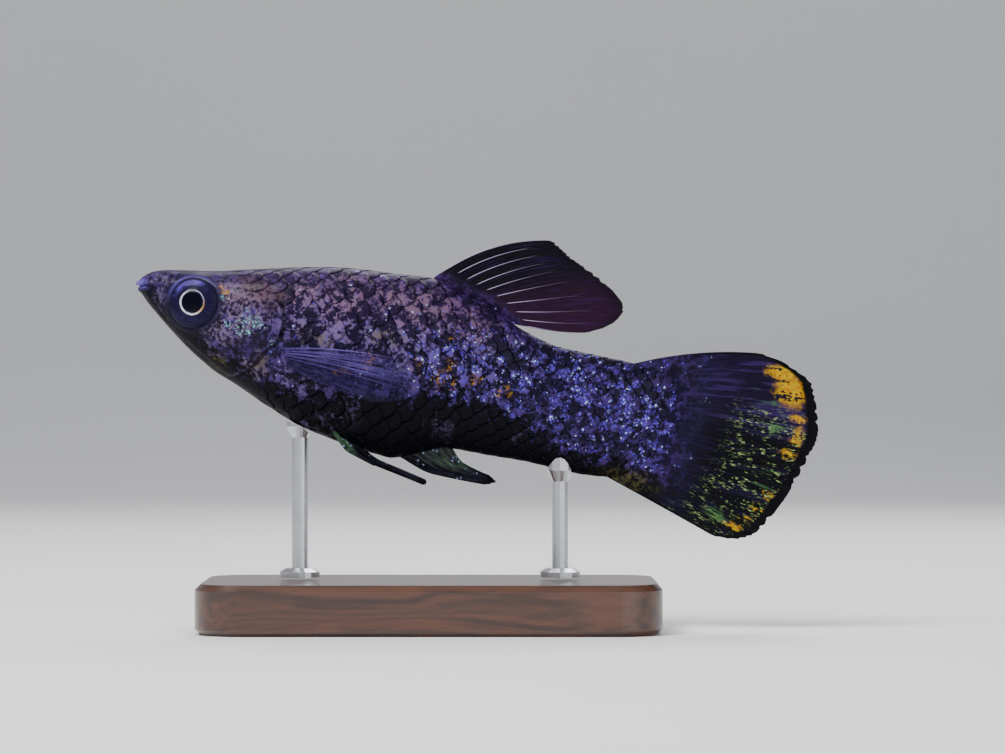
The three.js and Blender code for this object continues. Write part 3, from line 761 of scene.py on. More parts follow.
def gill_marks(board, shown, along, height, fine):
    """Painted shade in the groove behind the gill cover, and the cover's paler hard edge."""
    behind = board.minus(along, line_through(board, height, GILL_EDGE))
    within = board.times(board.ramp(height, *GILL_TOP), board.ramp(height, *GILL_FOOT))
    edge = board.ramp(board.apart(behind, -0.28), 0.24, 0.05)
    shown = board.lay(shown, PALE_VIOLET, edge, board.ramp(fine, 0.42, 0.6), within, 0.35)
    # Painted shade: black laid along the groove behind the gill cover's free edge
    painted_groove_shade = board.ramp(board.apart(behind, 0.12), 0.32, 0.08)
    return board.lay(shown, INK, painted_groove_shade, within, 0.7)


def from_eye(board, place):
    """The way to a point from midway between the eyes."""
    return board.vector("SUBTRACT", place, (EYE["x"], 0, EYE["z"]))


def orbit_marks(board, shown, place):
    """Dark skin round the eye, with a painted violet highlight on the orbit's upper front."""
    apart = board.stretched(from_eye(board, place), IN_SIDE_VIEW)
    far = board.length(apart)
    part = board.parts(apart)
    shown = board.lay(shown, ORBIT_SHADE, board.ramp(far, 3.3, 2.5), 0.85)
    # Painted highlight: a violet arc on the orbit's rim, on its upper front side
    tilt = board.scaled(part["X"], -0.5, board.times(part["Z"], 0.9))
    sheen = board.ramp(board.apart(far, 2.6), 0.26, 0.06)
    return board.lay(shown, ORBIT_PAINTED_HIGHLIGHT, sheen, board.ramp(tilt, 0.6, 2.4), 0.4)


def glitter_share(board, ragged, along, under, coarse, medium):
    """How much of each place glitters, and where the cheek's turquoise lies."""
    above = board.minus(1, under)
    rear = board.times(clouds(board, ragged, REAR_GLITTER, 0.5), above)
    cheek = clouds(board, ragged, CHEEK_GLITTER, 0.5)
    flank = board.times(above, board.ramp(along, *FLANK_GLITTER))
    share = board.scaled(rear, 0.76, board.times(flank, 0.12))
    clustered = board.times(board.ramp(medium, 0.48, 0.58), board.ramp(coarse, 0.25, 0.5))
    share = board.times(share, board.scaled(clustered, 1.15, 0.04))
    return board.math("ADD", board.scaled(cheek, 0.8, share), 0.004), cheek


def add_glints(board, shown, place, share, cheek):
    """Blue and pale specks over the colours. Gives the colour and both kinds of specks."""
    small = board.group(GLINTS, {"Place": place, "Size": 0.22, "Share": share, "Edge": 0.66})
    large = board.group(GLINTS, {"Place": place, "Size": 0.4, "Share": board.times(share, 0.5)})
    blue = board.mix(small["Pick"], STEEL_BLUE, BRIGHT_VIOLET)
    blue = board.lay(blue, ICE_BLUE, board.ramp(small["Pick"], 0.8, 0.92))
    blue = board.lay(blue, board.mix(small["Pick"], PALE_VIOLET, TURQUOISE), cheek)
    pale = board.mix(board.ramp(large["Pick"], 0.5, 1.0), BRIGHT_VIOLET, ICE_BLUE)
    pale = board.lay(pale, TURQUOISE, cheek)
    shown = board.lay(shown, pale, large["Mask"], 0.7)
    return board.lay(shown, blue, small["Mask"], 0.85), small, large


def fine_noise(board, place):
    return board.noise(place, 2.6, 5, 0.72)


def markings_group():
    """The colours of the fish's flesh, the same on skin and scales.

    Rim is 1 on a scale's edge, and Shade is a random number for each scale."""
    inputs = [("Rim", "NodeSocketFloat", 0.0), ("Shade", "NodeSocketFloat", 0.5)]
    numbers = [(name, "NodeSocketFloat") for name in ("Roughness", "Metal", "Relief", "Sheen")]
    board, given, out = shader_group("Fish markings", inputs, [("Colour", "NodeSocketColor"), *numbers])
    where = board.group(FISH_PLACE)
    place, along, height = where["Place"], where["Along"], where["Height"]
    coarse = board.noise(place, 0.4, 3)
    medium = board.noise(place, 1.0, 4, 0.65)
    fine = fine_noise(board, place)
    ragged = board.ragged(place, 0.8, 0.7, (4.2, 4.2, 4.2))
    mottle = board.swayed(board.swayed(medium, given["Shade"], 0.13), fine, 0.95)
    noises = (ragged, mottle, fine)

    shown = base_marks(board, along, height, noises)
    shown, under = lower_marks(board, shown, place, along, height, noises)
    edged = board.times(board.ramp(height, *EDGED_HEIGHT), board.ramp(along, *EDGED_SCALES))
    shown = board.lay(shown, SCALE_RIM, given["Rim"], board.scaled(edged, 0.3, 0.06))
    shade = board.scaled(given["Shade"], 0.24, 0.82)
    # Painted shade: the colour darkens towards the top of the back, where the key light strikes hardest
    shade = board.times(shade, board.ramp(height, 0.0, 5.0, 1.0, 0.66))
    shown = board.mix(1.0, shown, shade, blend="MULTIPLY")
    share, cheek = glitter_share(board, ragged, along, under, coarse, medium)
    shown, small, large = add_glints(board, shown, place, share, cheek)
    shown = board.lay(shown, GOLD, clouds(board, ragged, GOLD_SPOTS), board.ramp(fine, 0.46, 0.58), 0.85)
    shown = gill_marks(board, shown, along, height, fine)

    glint = board.math("MAXIMUM", small["Mask"], large["Mask"])
    results = {
        "Colour": orbit_marks(board, shown, place),
        "Roughness": board.scaled(glint, -0.2, 0.55),
        "Sheen": board.ramp(under, 0.1, 0.9, 0.09, 0.02),
        "Metal": board.times(glint, 0.5),
        "Relief": board.scaled(fine, 0.6, board.times(small["Facet"], small["Mask"])),
    }
    board.wire(out, results)
    return board.tree


def new_material(name):
    """A material with its board and its Principled shader."""
    material = bpy.data.materials.new(name)
    material.use_nodes = True
    board = Board(material.node_tree)
    return material, board, material.node_tree.nodes["Principled BSDF"]


def bump_from(board, relief, depth, strength=0.6):
    """A normal from relief that runs from 0 to 1, for a depth in millimetres."""
    inputs = {"Height": relief, "Distance": depth * MM, "Strength": strength}
    return board.add("ShaderNodeBump", inputs).outputs[0]


def flesh_material(name, markings, scaled):
    """Wet skin, or the scales over it with a darker rim each."""
    material, board, shader = new_material(name)
    inputs = {}
    if scaled:
        on_scale = board.add("ShaderNodeUVMap", uv_map="Scale").outputs[0]
        far = board.length(board.vector("SUBTRACT", on_scale, (0.5, 0.5, 0)))
        inputs = {"Rim": board.ramp(far, 0.41, 0.5), "Shade": board.attribute("shade")}
    marks = board.group(markings, inputs)
    finish = {
        "Base Color": marks["Colour"],
        "Roughness": marks["Roughness"],
        "Metallic": marks["Metal"],
        "Coat Weight": marks["Sheen"],
        "Coat Roughness": 0.14,
        "Specular IOR Level": 0.07,
        "Normal": bump_from(board, marks["Relief"], 0.05),
    }
    board.wire(shader, finish)
    return material


# Skin


def skin_places():
    """Where the skin's rings lie along the fish, closest together on the head."""
    runs = [NOSE_ROUND * (1 - np.cos(np.linspace(0.2, math.pi / 2, NOSE_RINGS)))[:-1]]
    start = NOSE_ROUND
    for end, step in SKIN_STEPS:
        runs.append(np.linspace(start, end, round((end - start) / step), endpoint=False))
        start = end
    return np.concatenate(runs + [[BODY_END - 0.02]])


def mouth_relief(x, z):
    """Lips on both sides of a groove, and the fold from the corner of the mouth."""
    line_x, line_z = zip(*MOUTH_LINE[:3])
    above = z > np.interp(x, line_x, line_z)
    gap = from_line(x, z, MOUTH_LINE)
    front = 1 - smooth_step(x, *LIPS_END)
    lips = LIP_HEIGHT * bump(gap - LIP_OFFSET, LIP_SPREAD) * np.where(above, 1, LOWER_LIP) * front
    return lips - MOUTH_DEPTH * bump(gap, MOUTH_WIDTH) * (1 - smooth_step(x, *MOUTH_END))


def eye_relief(x, z):
    """The raised rim of the orbit and the hollow that the eye lies in."""
    far = np.hypot(x - EYE["x"], z - EYE["z"])
    rim = ORBIT_HEIGHT * bump(far - ORBIT_RADIUS, ORBIT_SPREAD)
    inner, outer = HOLLOW_EDGE
    return rim - EYE_HOLLOW * (1 - smooth_step(far, EYE_DIAMETER / 2 - inner, EYE_DIAMETER / 2 + outer))


def gill_relief(x, z):
    """The gill cover, raised from the cheek back to its free edge, with a groove behind it."""
    foot, top = GILL_EDGE[0][0], GILL_EDGE[-1][0]
    past = x - curve_through(GILL_EDGE)(z)
    within = smooth_step(z, foot - 0.6, foot + 0.8) * (1 - smooth_step(z, top - 1, top))
    raised = GILL_HEIGHT * smooth_step(x, *GILL_RISE) * (1 - smooth_step(past, *GILL_DROP))
    groove = GILL_GROOVE * bump(past - GROOVE_BEHIND, GROOVE_SPREAD)
    return (raised - groove) * within


def head_relief(points):
    """How far the skin stands out from the plain body, in millimetres."""
    x, z = points[..., 0], points[..., 2]
    out = mouth_relief(x, z) + eye_relief(x, z) + gill_relief(x, z)
    for hole_x, hole_z, radius in NOSTRILS:
        far = np.hypot(x - hole_x, z - hole_z)
        out += NOSTRIL_RIM * bump(far - 1.9 * radius, radius) - NOSTRIL_DEPTH * bump(far, radius)
    for depth, width, line in HEAD_CREASES:
        out -= depth * bump(from_line(x, z, line), width)
    return out


def closed_tube(grid, first, last):
    """Points and faces of a grid whose second axis closes, with a pole at each end.

    Also gives the row and column of each face's corners, for a map."""
    rows, columns = grid.shape[:2]
    points = np.concatenate([grid.reshape(-1, 3), [first, last]])
    faces = []
    corners = []
    end = (rows - 1) * columns
    for j in range(columns):
        k = (j + 1) % columns
        faces.append((rows * columns, j, k))
        corners += [(-0.5, j + 0.5), (0, j), (0, j + 1)]
        faces.append((rows * columns + 1, end + k, end + j))
        corners += [(rows - 0.5, j + 0.5), (rows - 1, j + 1), (rows - 1, j)]
    for i in range(rows - 1):
        low, high = i * columns, (i + 1) * columns
        for j in range(columns):
            k = (j + 1) % columns
            faces.append((low + j, high + j, high + k, low + k))
            corners += [(i, j), (i + 1, j), (i + 1, j + 1), (i, j + 1)]
    return points, faces, np.array(corners, float)


def set_face_map(mesh, name, values):
    """A UV map given corner by corner, in the order of the faces."""
    layer = mesh.uv_layers.new(name=name)
    layer.data.foreach_set("uv", np.asarray(values, np.float32).ravel())


def make_skin(material):
    """One closed skin over head, trunk and tail stalk."""
    x = skin_places()
    plain = body_points(x[:, None], ring_turns(SKIN_SIDES)[None, :])
    out = head_relief(plain) - SKIN_INSET
    grid = plain + grid_normals(plain) * out[..., None]
    nose = (SKIN_INSET, 0, float(level_at(0.0)))
    tail = (BODY_END, 0, float(level_at(BODY_END)))
    points, faces, corners = closed_tube(grid, nose, tail)
    piece = mesh_object("fish_skin", placed(points), faces, material)
    along = np.interp(corners[:, 0], np.arange(len(x)), x / BODY_END)
    set_face_map(piece.data, "OFBake", np.stack([along, corners[:, 1] / SKIN_SIDES], axis=-1))
    shade_smooth(piece)
    flesh = ("head", "lower_jaw", "gill_cover_left", "gill_cover_right", "trunk", "tail_stalk")
    return finished(piece, *flesh, slot="skin")


# Scales


def scale_starts(turn_share):
    """How far forward scales grow at a share of the way round from the back."""
    side = 1 - abs(2 * turn_share - 1)
    return float(curve_through(SCALE_FRONT)(side))


def scale_roots():
    """Where each scale grows: its place, the way out of and back along the fish, and its size."""
    found = {"place": [], "outward": [], "rearward": [], "size": [], "root_map": []}
    shares = np.linspace(0, 1, SECTION_READS)
    near = np.array([-1, 0, 1])
    x = SCALE_PITCH[0][0]
    column = 0
    pitch_at = curve_through(SCALE_PITCH)
    while x < SCALES_END:
        ring = body_points(np.array([[x]]), shares[None, :] * 2 * math.pi)[0]
        length = np.concatenate([[0], np.cumsum(np.linalg.norm(np.diff(ring, axis=0), axis=1))])
        pitch = float(pitch_at(x))
        for j in range(SCALE_ROWS // 2):
            way_round = (j + 0.5 * (column % 2)) / (SCALE_ROWS // 2)
            share = float(np.interp(way_round, length / length[-1], shares))
            if x < scale_starts(way_round):
                continue
            turns = 2 * math.pi * (share + ROOT_TURN * near)
            patch = body_points((x + ROOT_STEP * near)[:, None], turns[None, :])
            rearward = patch[2, 1] - patch[0, 1]
            outward = np.cross(rearward, patch[1, 2] - patch[1, 0])
            found["place"].append(patch[1, 1])
            found["outward"].append(outward / np.linalg.norm(outward))
            found["rearward"].append(rearward / np.linalg.norm(rearward))
            found["size"].append((pitch * SCALE_LENGTH, length[-1] / SCALE_ROWS * SCALE_HEIGHT, 1))
            found["root_map"].append((x / BODY_END, share, 0))
        x += pitch / 2
        column += 1
    return {name: np.array(values) for name, values in found.items()}


def scale_plate():
    """One scale: a closed plate of unit reach, with its lift over the skin in an attribute."""
    points = [(0, 0, 0)]
    for reach in PLATE_RINGS:
        for i in range(SCALE_SIDES):
            turn = 2 * math.pi * i / SCALE_SIDES
            points.append((reach * math.cos(turn), reach * math.sin(turn), 0))
    points.append((0, 0, 0))
    lifts = []
    for x, y, _ in points:
        crown = PLATE_CROWN * (1 - x * x - y * y)
        lifts.append(PLATE_ROOT + (PLATE_RISE + crown) * smooth_step(x, -0.7, 0.9))
    lifts[-1] = PLATE_UNDERSIDE
    faces = []
    for i in range(SCALE_SIDES):
        k = (i + 1) % SCALE_SIDES
        faces.append((0, 1 + i, 1 + k))
        for ring in range(len(PLATE_RINGS) - 1):
            low, high = 1 + ring * SCALE_SIDES, 1 + (ring + 1) * SCALE_SIDES
            faces.append((low + i, high + i, high + k, low + k))
        faces.append((len(points) - 1, high + k, high + i))
    piece = mesh_object("one_scale", points, faces)
    set_attribute(piece.data, "lift", lifts)
    set_corner_map(piece.data, "Scale", [(0.5 + 0.5 * x, 0.5 + 0.5 * y) for x, y, _ in points])
    return shade_smooth(piece)


def new_geometry_tree(name, inputs):
    """A new geometry tree: its board, the sockets that lead in and the node that leads out."""
    tree = bpy.data.node_groups.new(name, "GeometryNodeTree")
    tree.interface.new_socket(name="Geometry", in_out="INPUT", socket_type="NodeSocketGeometry")
    for label, kind in inputs:
        tree.interface.new_socket(name=label, in_out="INPUT", socket_type=kind)
    tree.interface.new_socket(name="Geometry", in_out="OUTPUT", socket_type="NodeSocketGeometry")
    board = Board(tree)
    return board, board.add("NodeGroupInput").outputs, board.add("NodeGroupOutput")


def end_tree(board, out, made, finish):
    """Ends a tree in real geometry with its finish on, and gives the tree."""
    whole = board.add("GeometryNodeRealizeInstances", {"Geometry": made}).outputs[0]
    dressed = board.add("GeometryNodeSetMaterial", {"Geometry": whole, "Material": finish})
    board.wire(out, {"Geometry": dressed.outputs[0]})
    return board.tree


def named(board, name, kind="FLOAT"):
    return board.add("GeometryNodeInputNamedAttribute", {"Name": name}, data_type=kind).outputs["Attribute"]


def scales_tree():
    """Sets a plate on each root and lays it over the skin."""
    inputs = [
        ("Skin", "NodeSocketObject"),
        ("Plate", "NodeSocketObject"),
        ("Lift", "NodeSocketFloat"),
        ("Bake patch", "NodeSocketFloat"),
        ("Finish", "NodeSocketMaterial"),
    ]
    board, given, out = new_geometry_tree("Scales", inputs)
    plate = board.add("GeometryNodeObjectInfo", {"Object": given["Plate"]}).outputs["Geometry"]
    skin = board.add("GeometryNodeObjectInfo", {"Object": given["Skin"]}).outputs["Geometry"]
    outward = {"Vector": named(board, "outward", "FLOAT_VECTOR")}
    facing = board.add("FunctionNodeAlignRotationToVector", outward, axis="Z")
    rearward = {"Rotation": facing.outputs[0], "Vector": named(board, "rearward", "FLOAT_VECTOR")}
    lying = board.add("FunctionNodeAlignRotationToVector", rearward, axis="X", pivot_axis="Z")
    inputs = {
        "Points": given["Geometry"],
        "Instance": plate,
        "Rotation": lying.outputs[0],
        "Scale": named(board, "size", "FLOAT_VECTOR"),
    }
    laid = board.add("GeometryNodeInstanceOnPoints", inputs).outputs[0]
    loose = board.add("GeometryNodeRealizeInstances", {"Geometry": laid}).outputs[0]

    surface = board.add("GeometryNodeProximity", {0: skin}, target_element="FACES").outputs["Position"]
    inputs = {"Mesh": skin, "Value": board.add("GeometryNodeInputNormal").outputs[0]}
    normal = board.add("GeometryNodeSampleNearestSurface", inputs, data_type="FLOAT_VECTOR").outputs[0]
    lift = board.times(named(board, "lift"), given["Lift"])
    place = board.vector("ADD", surface, board.lengthened(normal, lift))
    fitted = board.add("GeometryNodeSetPosition", {"Geometry": loose, "Position": place}).outputs[0]

    apart = board.vector("SUBTRACT", named(board, "Scale", "FLOAT_VECTOR"), (0.5, 0.5, 0))
    patch = board.lengthened(apart, given["Bake patch"])
    bake = board.vector("ADD", named(board, "root_map", "FLOAT_VECTOR"), patch)
    inputs = {"Geometry": fitted, "Name": "OFBake", "Value": bake}
    mapped = board.add("GeometryNodeStoreNamedAttribute", inputs, data_type="FLOAT2", domain="CORNER")
    return end_tree(board, out, mapped.outputs[0], given["Finish"])


def grown(source, tree, values, name):
    """Runs a geometry tree on an object and gives the result as a plain mesh object."""
    modifier = source.modifiers.new("Growth", "NODES")
    modifier.node_group = tree
    for item in tree.interface.items_tree:
        if item.in_out == "INPUT" and item.name in values:
            modifier[item.identifier] = values[item.name]
    source.update_tag()
    graph = bpy.context.evaluated_depsgraph_get()
    graph.update()
    mesh = bpy.data.meshes.new_from_object(source.evaluated_get(graph), depsgraph=graph)
    source.modifiers.remove(modifier)
    mesh.name = name
    piece = bpy.data.objects.new(name, mesh)
    bpy.context.scene.collection.objects.link(piece)
    return piece


def drop(piece):
    """Takes a pattern object out of the scene."""
    bpy.data.objects.remove(piece)


def make_scales(skin, material):
    """Overlapping scales from the nape to the root of the tail fin."""
    found = scale_roots()
    roots = mesh_object("scale_roots", placed(found["place"]), [])
    random = np.random.default_rng(SCALE_SEED)
    vary = 1 + SCALE_VARIETY * random.uniform(-1, 1, (len(found["place"]), 1))
    turn = np.array(FISH_TO_WORLD.to_3x3().normalized())
    vectors = {
        "outward": found["outward"] @ turn.T,
        "rearward": found["rearward"] @ turn.T,
        "size": found["size"] * vary * (MM, MM, 1),
        "root_map": found["root_map"],
    }
    for name, values in vectors.items():
        set_attribute(roots.data, name, values, "FLOAT_VECTOR")
    set_attribute(roots.data, "shade", random.uniform(0, 1, len(found["place"])))
    plate = scale_plate()
    values = {
        "Skin": skin,
        "Plate": plate,
        "Lift": SCALE_LIFT * MM,
        "Bake patch": BAKE_PATCH,
        "Finish": material,
    }
    piece = grown(roots, scales_tree(), values, "fish_scales")
    drop(roots)
    drop(plate)
    shade_smooth(piece)
    return finished(piece, slot="skin")


# Eyes


def lens_profile():
    """Height of the eye's face over its middle, by distance from the pupil's centre, in millimetres."""
    ball = EYE_DIAMETER / 2 / math.sqrt(1 - (EYE["sunk"] / EYE["depth"]) ** 2)
    far = np.linspace(0, ball * 0.995, EYE_RINGS)
    height = EYE["depth"] * np.sqrt(1 - (far / ball) ** 2)
    iris = -IRIS_DROP * smooth_step(far, PUPIL_RADIUS + 0.02, PUPIL_RADIUS + 0.12)
    iris += RING_HEIGHT * bump(far - PUPIL_RING, RING_SPREAD)
    return far, height + iris


def make_eye(word, side, material):
    """One eyeball: a dome with the pupil raised in its middle, and the ring and iris round it."""
    far, height = lens_profile()
    turn = ring_turns(EYE_SIDES)
    x, z = far[1:, None] * np.cos(turn), far[1:, None] * np.sin(turn)
    rings = np.stack([x, height[1:, None] + 0 * turn, z], axis=-1)
    rear_ring = rings[-1:] * (0.8, 0, 0.8) + (0, EYE_REAR[0], 0)
    front, rear = (0, height[0], 0), (0, EYE_REAR[1], 0)
    points, faces, _ = closed_tube(np.concatenate([rings, rear_ring]), front, rear)
    from_pupil = np.hypot(points[:, 0], points[:, 2])
    centre_y = float(side_at(EYE["x"], EYE["z"])) - EYE["sunk"]
    spin = Matrix.Rotation(side * EYE["forward"], 3, "Z")
    points = (points * (1, side, 1)) @ np.array(spin).T + (EYE["x"], side * centre_y, EYE["z"])
    if side > 0:
        faces = [tuple(reversed(face)) for face in faces]
    piece = mesh_object(f"fish_eye_{word}", placed(points), faces, material)
    set_attribute(piece.data, "from_pupil", from_pupil)
    shade_smooth(piece)
    return finished(piece, f"eye_{word}", slot="eye")


def iris_colour(board, part, far, fine, coarse):
    """A dark violet iris with a pale arc of painted reflection on its upper front, and an even edge."""
    shown = board.mix(board.ramp(fine, 0.3, 0.75), IRIS_SHADE, IRIS_VIOLET)
    # Painted reflection: a pale arc on the iris's upper front
    upper_front = board.scaled(part["Z"], 0.8, board.times(part["X"], -0.45))
    arc = board.times(board.ramp(upper_front, 0.6, 1.9), board.ramp(far, 1.5, 2.0))
    shown = board.lay(shown, IRIS_PAINTED_REFLECTION, arc, board.ramp(coarse, 0.3, 0.6), 0.7)
    shown = board.lay(shown, IRIS_LOW, board.ramp(part["Z"], -0.9, -2.0), board.ramp(fine, 0.4, 0.7), 0.3)
    return board.lay(shown, IRIS_EDGE, board.ramp(far, EYE_DIAMETER / 2 - 0.25, EYE_DIAMETER / 2))


def eye_material():
    """A black pupil with a bright ring round it, in a dark iris."""
    material, board, shader = new_material("wet_eye")
    place = board.group(FISH_PLACE)["Place"]
    far = board.attribute("from_pupil")
    part = board.parts(from_eye(board, place))
    fine = board.noise(place, 5.5, 5, 0.7)
    coarse = board.noise(place, 1.6, 3)
    shown = iris_colour(board, part, far, fine, coarse)
    off_ring = board.apart(far, board.scaled(coarse, 0.12, PUPIL_RING - 0.06))
    lower_front = board.ramp(board.scaled(part["X"], 0.45, part["Z"]), 1.0, -0.7)
    ring = board.ramp(off_ring, board.scaled(lower_front, 0.06, 0.08), 0.03)
    warm = board.times(board.ramp(part["X"], 0.3, 1.1), board.ramp(part["Z"], 0.7, 0.0))
    patchy = board.math("ADD", board.times(board.ramp(fine, 0.25, 0.6), 0.35), 0.1)
    patchy = board.scaled(lower_front, 0.55, patchy)
    shown = board.lay(shown, board.mix(warm, RING_SILVER, RING_AMBER), ring, patchy)
    pupil = board.ramp(far, PUPIL_RADIUS + 0.05, PUPIL_RADIUS - 0.03)
    finish = {
        "Base Color": board.lay(shown, PUPIL, pupil),
        "Metallic": board.times(ring, 0.5),
        "Roughness": board.scaled(pupil, -0.4, 0.5),
        "Specular IOR Level": 0.07,
        "Coat Weight": 0.06,
        "Coat Roughness": 0.04,
        "Normal": bump_from(board, fine, 0.03),
    }
    board.wire(shader, finish)
    return material


# Fins


def fin_points(fin, u, share):
    """Points of a fin's middle sheet at (u, share). Below share 0 a ray runs on into the flesh."""
    u, share = np.broadcast_arrays(np.asarray(u, float), np.asarray(share, float))
    start = np.radians(curve_through(fin["leaves"])(u))
    turn = np.radians(curve_through(fin["ends"])(u)) - start
    turn = np.where(np.abs(turn) < 1e-4, 1e-4, turn)
    reach = curve_through(fin["length"])(u)
    x, z = fin["root"](u)
    z = z + fin.get("rise", 0) * smooth_step(share, *RISE_SPAN)
    x = x + reach * (np.sin(start + turn * share) - np.sin(start)) / turn
    z = z + reach * (np.cos(start) - np.cos(start + turn * share)) / turn
    return np.stack([x, fin["sideways"](u, share, x, z), z], axis=-1)


def in_the_middle(u, share, x, z):
    return np.zeros_like(x)


# Each fin is a table. u runs from its first ray (0) to its last (1), and share from the root of a
# ray (0) to its tip (1). leaves and ends are a ray's directions there, in degrees up from straight
# back, and length is its length. root_half and root_share are how thick and how long the fleshy
# root is. sink is how far a ray runs on into the flesh, and rise lifts its root. splits are the
# shares at which a ray forks, ray is its radius, and up to stout the rays are thick and whole.


def dorsal_fin():
    def root(u):
        x = DORSAL_ROOT[0] + DORSAL_ROOT[1] * u
        return x, back_at(x) + GAP

    return {
        "rays": 10,
        "root": root,
        "leaves": [(0, 52), (0.33, 43), (0.5, 33), (0.78, 12.5), (1, 1)],
        "ends": [(0, 12), (0.33, 18), (0.5, 23), (0.7, 22), (1, 16)],
        "length": [(0, 12.2), (0.44, 11.2), (0.76, 12.2), (0.89, 10.2), (1, 6.8)],
        "root_half": 0.22,
        "root_share": 0.055,
        "sink": 0.12,
        "splits": (0.66, 0.88),
        "ray": 0.095,
        "sideways": in_the_middle,
    }


def tail_fin():
    def root(u):
        turn = np.radians(TAIL_ROOT_TURN - 2 * TAIL_ROOT_TURN * u)
        x, z = TAIL_ROOT_CENTRE
        return x + TAIL_ROOT_RADIUS * np.cos(turn), z + TAIL_ROOT_RADIUS * np.sin(turn)

    return {
        "rays": 20,
        "root": root,
        "leaves": [(0, 26), (0.25, 12), (0.5, 3), (0.75, -7), (1, -14)],
        "ends": [(0, 10), (0.25, 3.5), (0.5, 3), (0.75, -9), (1, -15)],
        "length": [
            (0, 10.7),
            (0.06, 12.9),
            (0.14, 14.6),
            (0.36, 14.6),
            (0.5, 13.9),
            (0.75, 13),
            (0.88, 12.9),
            (0.95, 12.2),
            (1, 10.6),
        ],
        "root_half": 0.56,
        "root_share": 0.2,
        "sink": 0.28,
        "splits": (0.3, 0.62),
        "ray": 0.11,
        "sideways": in_the_middle,
    }


def anal_fin():
    def root(u):
        x = ANAL_ROOT[0] + ANAL_ROOT[1] * u
        return x, belly_at(x) - GAP

    return {
        "rays": 7,
        "root": root,
        "leaves": [(0, -1.5), (0.4, -6), (1, -23)],
        "ends": [(0, 5.5), (0.4, 3), (1, -4)],
        "length": [(0, 10), (0.3, 9.1), (0.6, 7.7), (1, 5.4)],
        "root_half": 0.3,
        "root_share": 0.14,
        "sink": 0.05,
        "rise": 1.0,
        "splits": (0.6, 0.85),
        "ray": 0.15,
        "stout": 0.4,
        "sideways": in_the_middle,
    }


def pectoral_fin(side):
    def root(u):
        return tuple(start + slant * u for start, slant in zip(PECTORAL_ROOT, PECTORAL_SLANT))

    def sideways(u, share, x, z):
        clear = GAP + PECTORAL_SUNK + PECTORAL_SPREAD * np.maximum(share, 0) ** 1.4
        out_of_flesh = smooth_step(share, -0.08, 0.1)
        return side * (side_at(x, z) - PECTORAL_SUNK + (clear + PECTORAL_SUNK) * out_of_flesh)

    return {
        "rays": 9,
        "root": root,
        "leaves": [(0, 18), (0.5, 2), (1, -12)],
        "ends": [(0, 1), (0.5, -3), (1, -3)],
        "length": [(0, 12.2), (0.3, 13.5), (0.6, 13.1), (1, 10)],
        "root_half": 0.3,
        "root_share": 0.12,
        "sink": 0.09,
        "splits": (0.45, 0.99),
        "ray": 0.085,
        "sideways": sideways,
    }


def pelvic_fin(side):
    def off_middle(u):
        return PELVIC_OFF[0] + PELVIC_OFF[1] * u

    def root(u):
        x = PELVIC_ROOT[0] + PELVIC_ROOT[1] * u
        return x, belly_surface(x, off_middle(u)) - GAP - PELVIC_CLEAR

    def sideways(u, share, x, z):
        return side * (off_middle(u) + share * (PELVIC_SPREAD[0] + PELVIC_SPREAD[1] * u))

    return {
        "rays": 5,
        "root": root,
        "leaves": [(0, -6), (1, -15)],
        "ends": [(0, -8), (1, -12)],
        "length": [(0, 9.1), (0.33, 5.8), (1, 5.4)],
        "root_half": 0.2,
        "root_share": 0.14,
        "sink": 0.05,
        "rise": 1.1,
        "splits": (0.6, 0.85),
        "ray": 0.23,
        "stout": 0.2,
        "across": (0, math.cos(PELVIC_LEAN), side * math.sin(PELVIC_LEAN)),
        "sideways": sideways,
    }


def uneven(u, quick, sway, slow):
    """An irregular wave from 0 to 1 along the edge of a fin."""
    return 0.5 + 0.5 * np.sin(quick * u + sway * np.sin(slow * u))


def fin_edge(fin, u):
    """How far the membrane reaches along its rays, a little less between two tips."""
    tips = 4 * (fin["rays"] - 1)
    between = np.abs(np.sin(math.pi * tips * u / 2))
    worn = uneven(u, 61, 3, 23)
    edge = 1 - FIN_NOTCH * between * worn - FIN_WEAR * uneven(u, 17, 2, 9) * worn
    if "stout" in fin:
        edge = edge - STOUT_CUT * (1 - smooth_step(u, 0, fin["stout"]))
    return edge


def membrane(name, fin, material):
    """The thin closed sheet between a fin's rays."""
    columns = FIN_COLUMNS * (fin["rays"] - 1) + 1
    rows = FIN_ROWS
    u = np.linspace(0, 1, columns)[:, None]
    share = -fin["sink"] + (fin_edge(fin, u) + fin["sink"]) * np.linspace(0, 1, rows)[None, :]
    middle = fin_points(fin, u, share)
    flare = bump(share - FLARE_AT, np.where(share > FLARE_AT, fin["root_share"], 0.4 * fin["sink"]))
    half = MEMBRANE_HALF * (1 - MEMBRANE_TAPER * np.maximum(share, 0)) + fin["root_half"] * flare
    across = np.array(fin.get("across", (0, 1, 0)))
    sheets = [middle + half[..., None] * across, middle - half[..., None] * across]
    points = np.concatenate([sheet.reshape(-1, 3) for sheet in sheets])
    size = columns * rows
    faces = []
    for i in range(columns - 1):
        for j in range(rows - 1):
            a, b = i * rows + j, (i + 1) * rows + j
            faces.append((a, a + 1, b + 1, b))
            faces.append((size + a, size + b, size + b + 1, size + a + 1))
    rim = list(range(rows)) + [i * rows + rows - 1 for i in range(1, columns)]
    rim += [(columns - 1) * rows + j for j in range(rows - 2, -1, -1)]
    rim += [i * rows for i in range(columns - 2, 0, -1)]
    for a, b in zip(rim, rim[1:] + rim[:1]):
        faces.append((a, size + a, size + b, b))
    piece = mesh_object(name, placed(points), faces, material)
    for key, values in zip(("across", "share"), np.broadcast_arrays(u, share)):
        set_attribute(piece.data, key, np.tile(values.ravel(), 2))
    return outward(shade_smooth(piece))


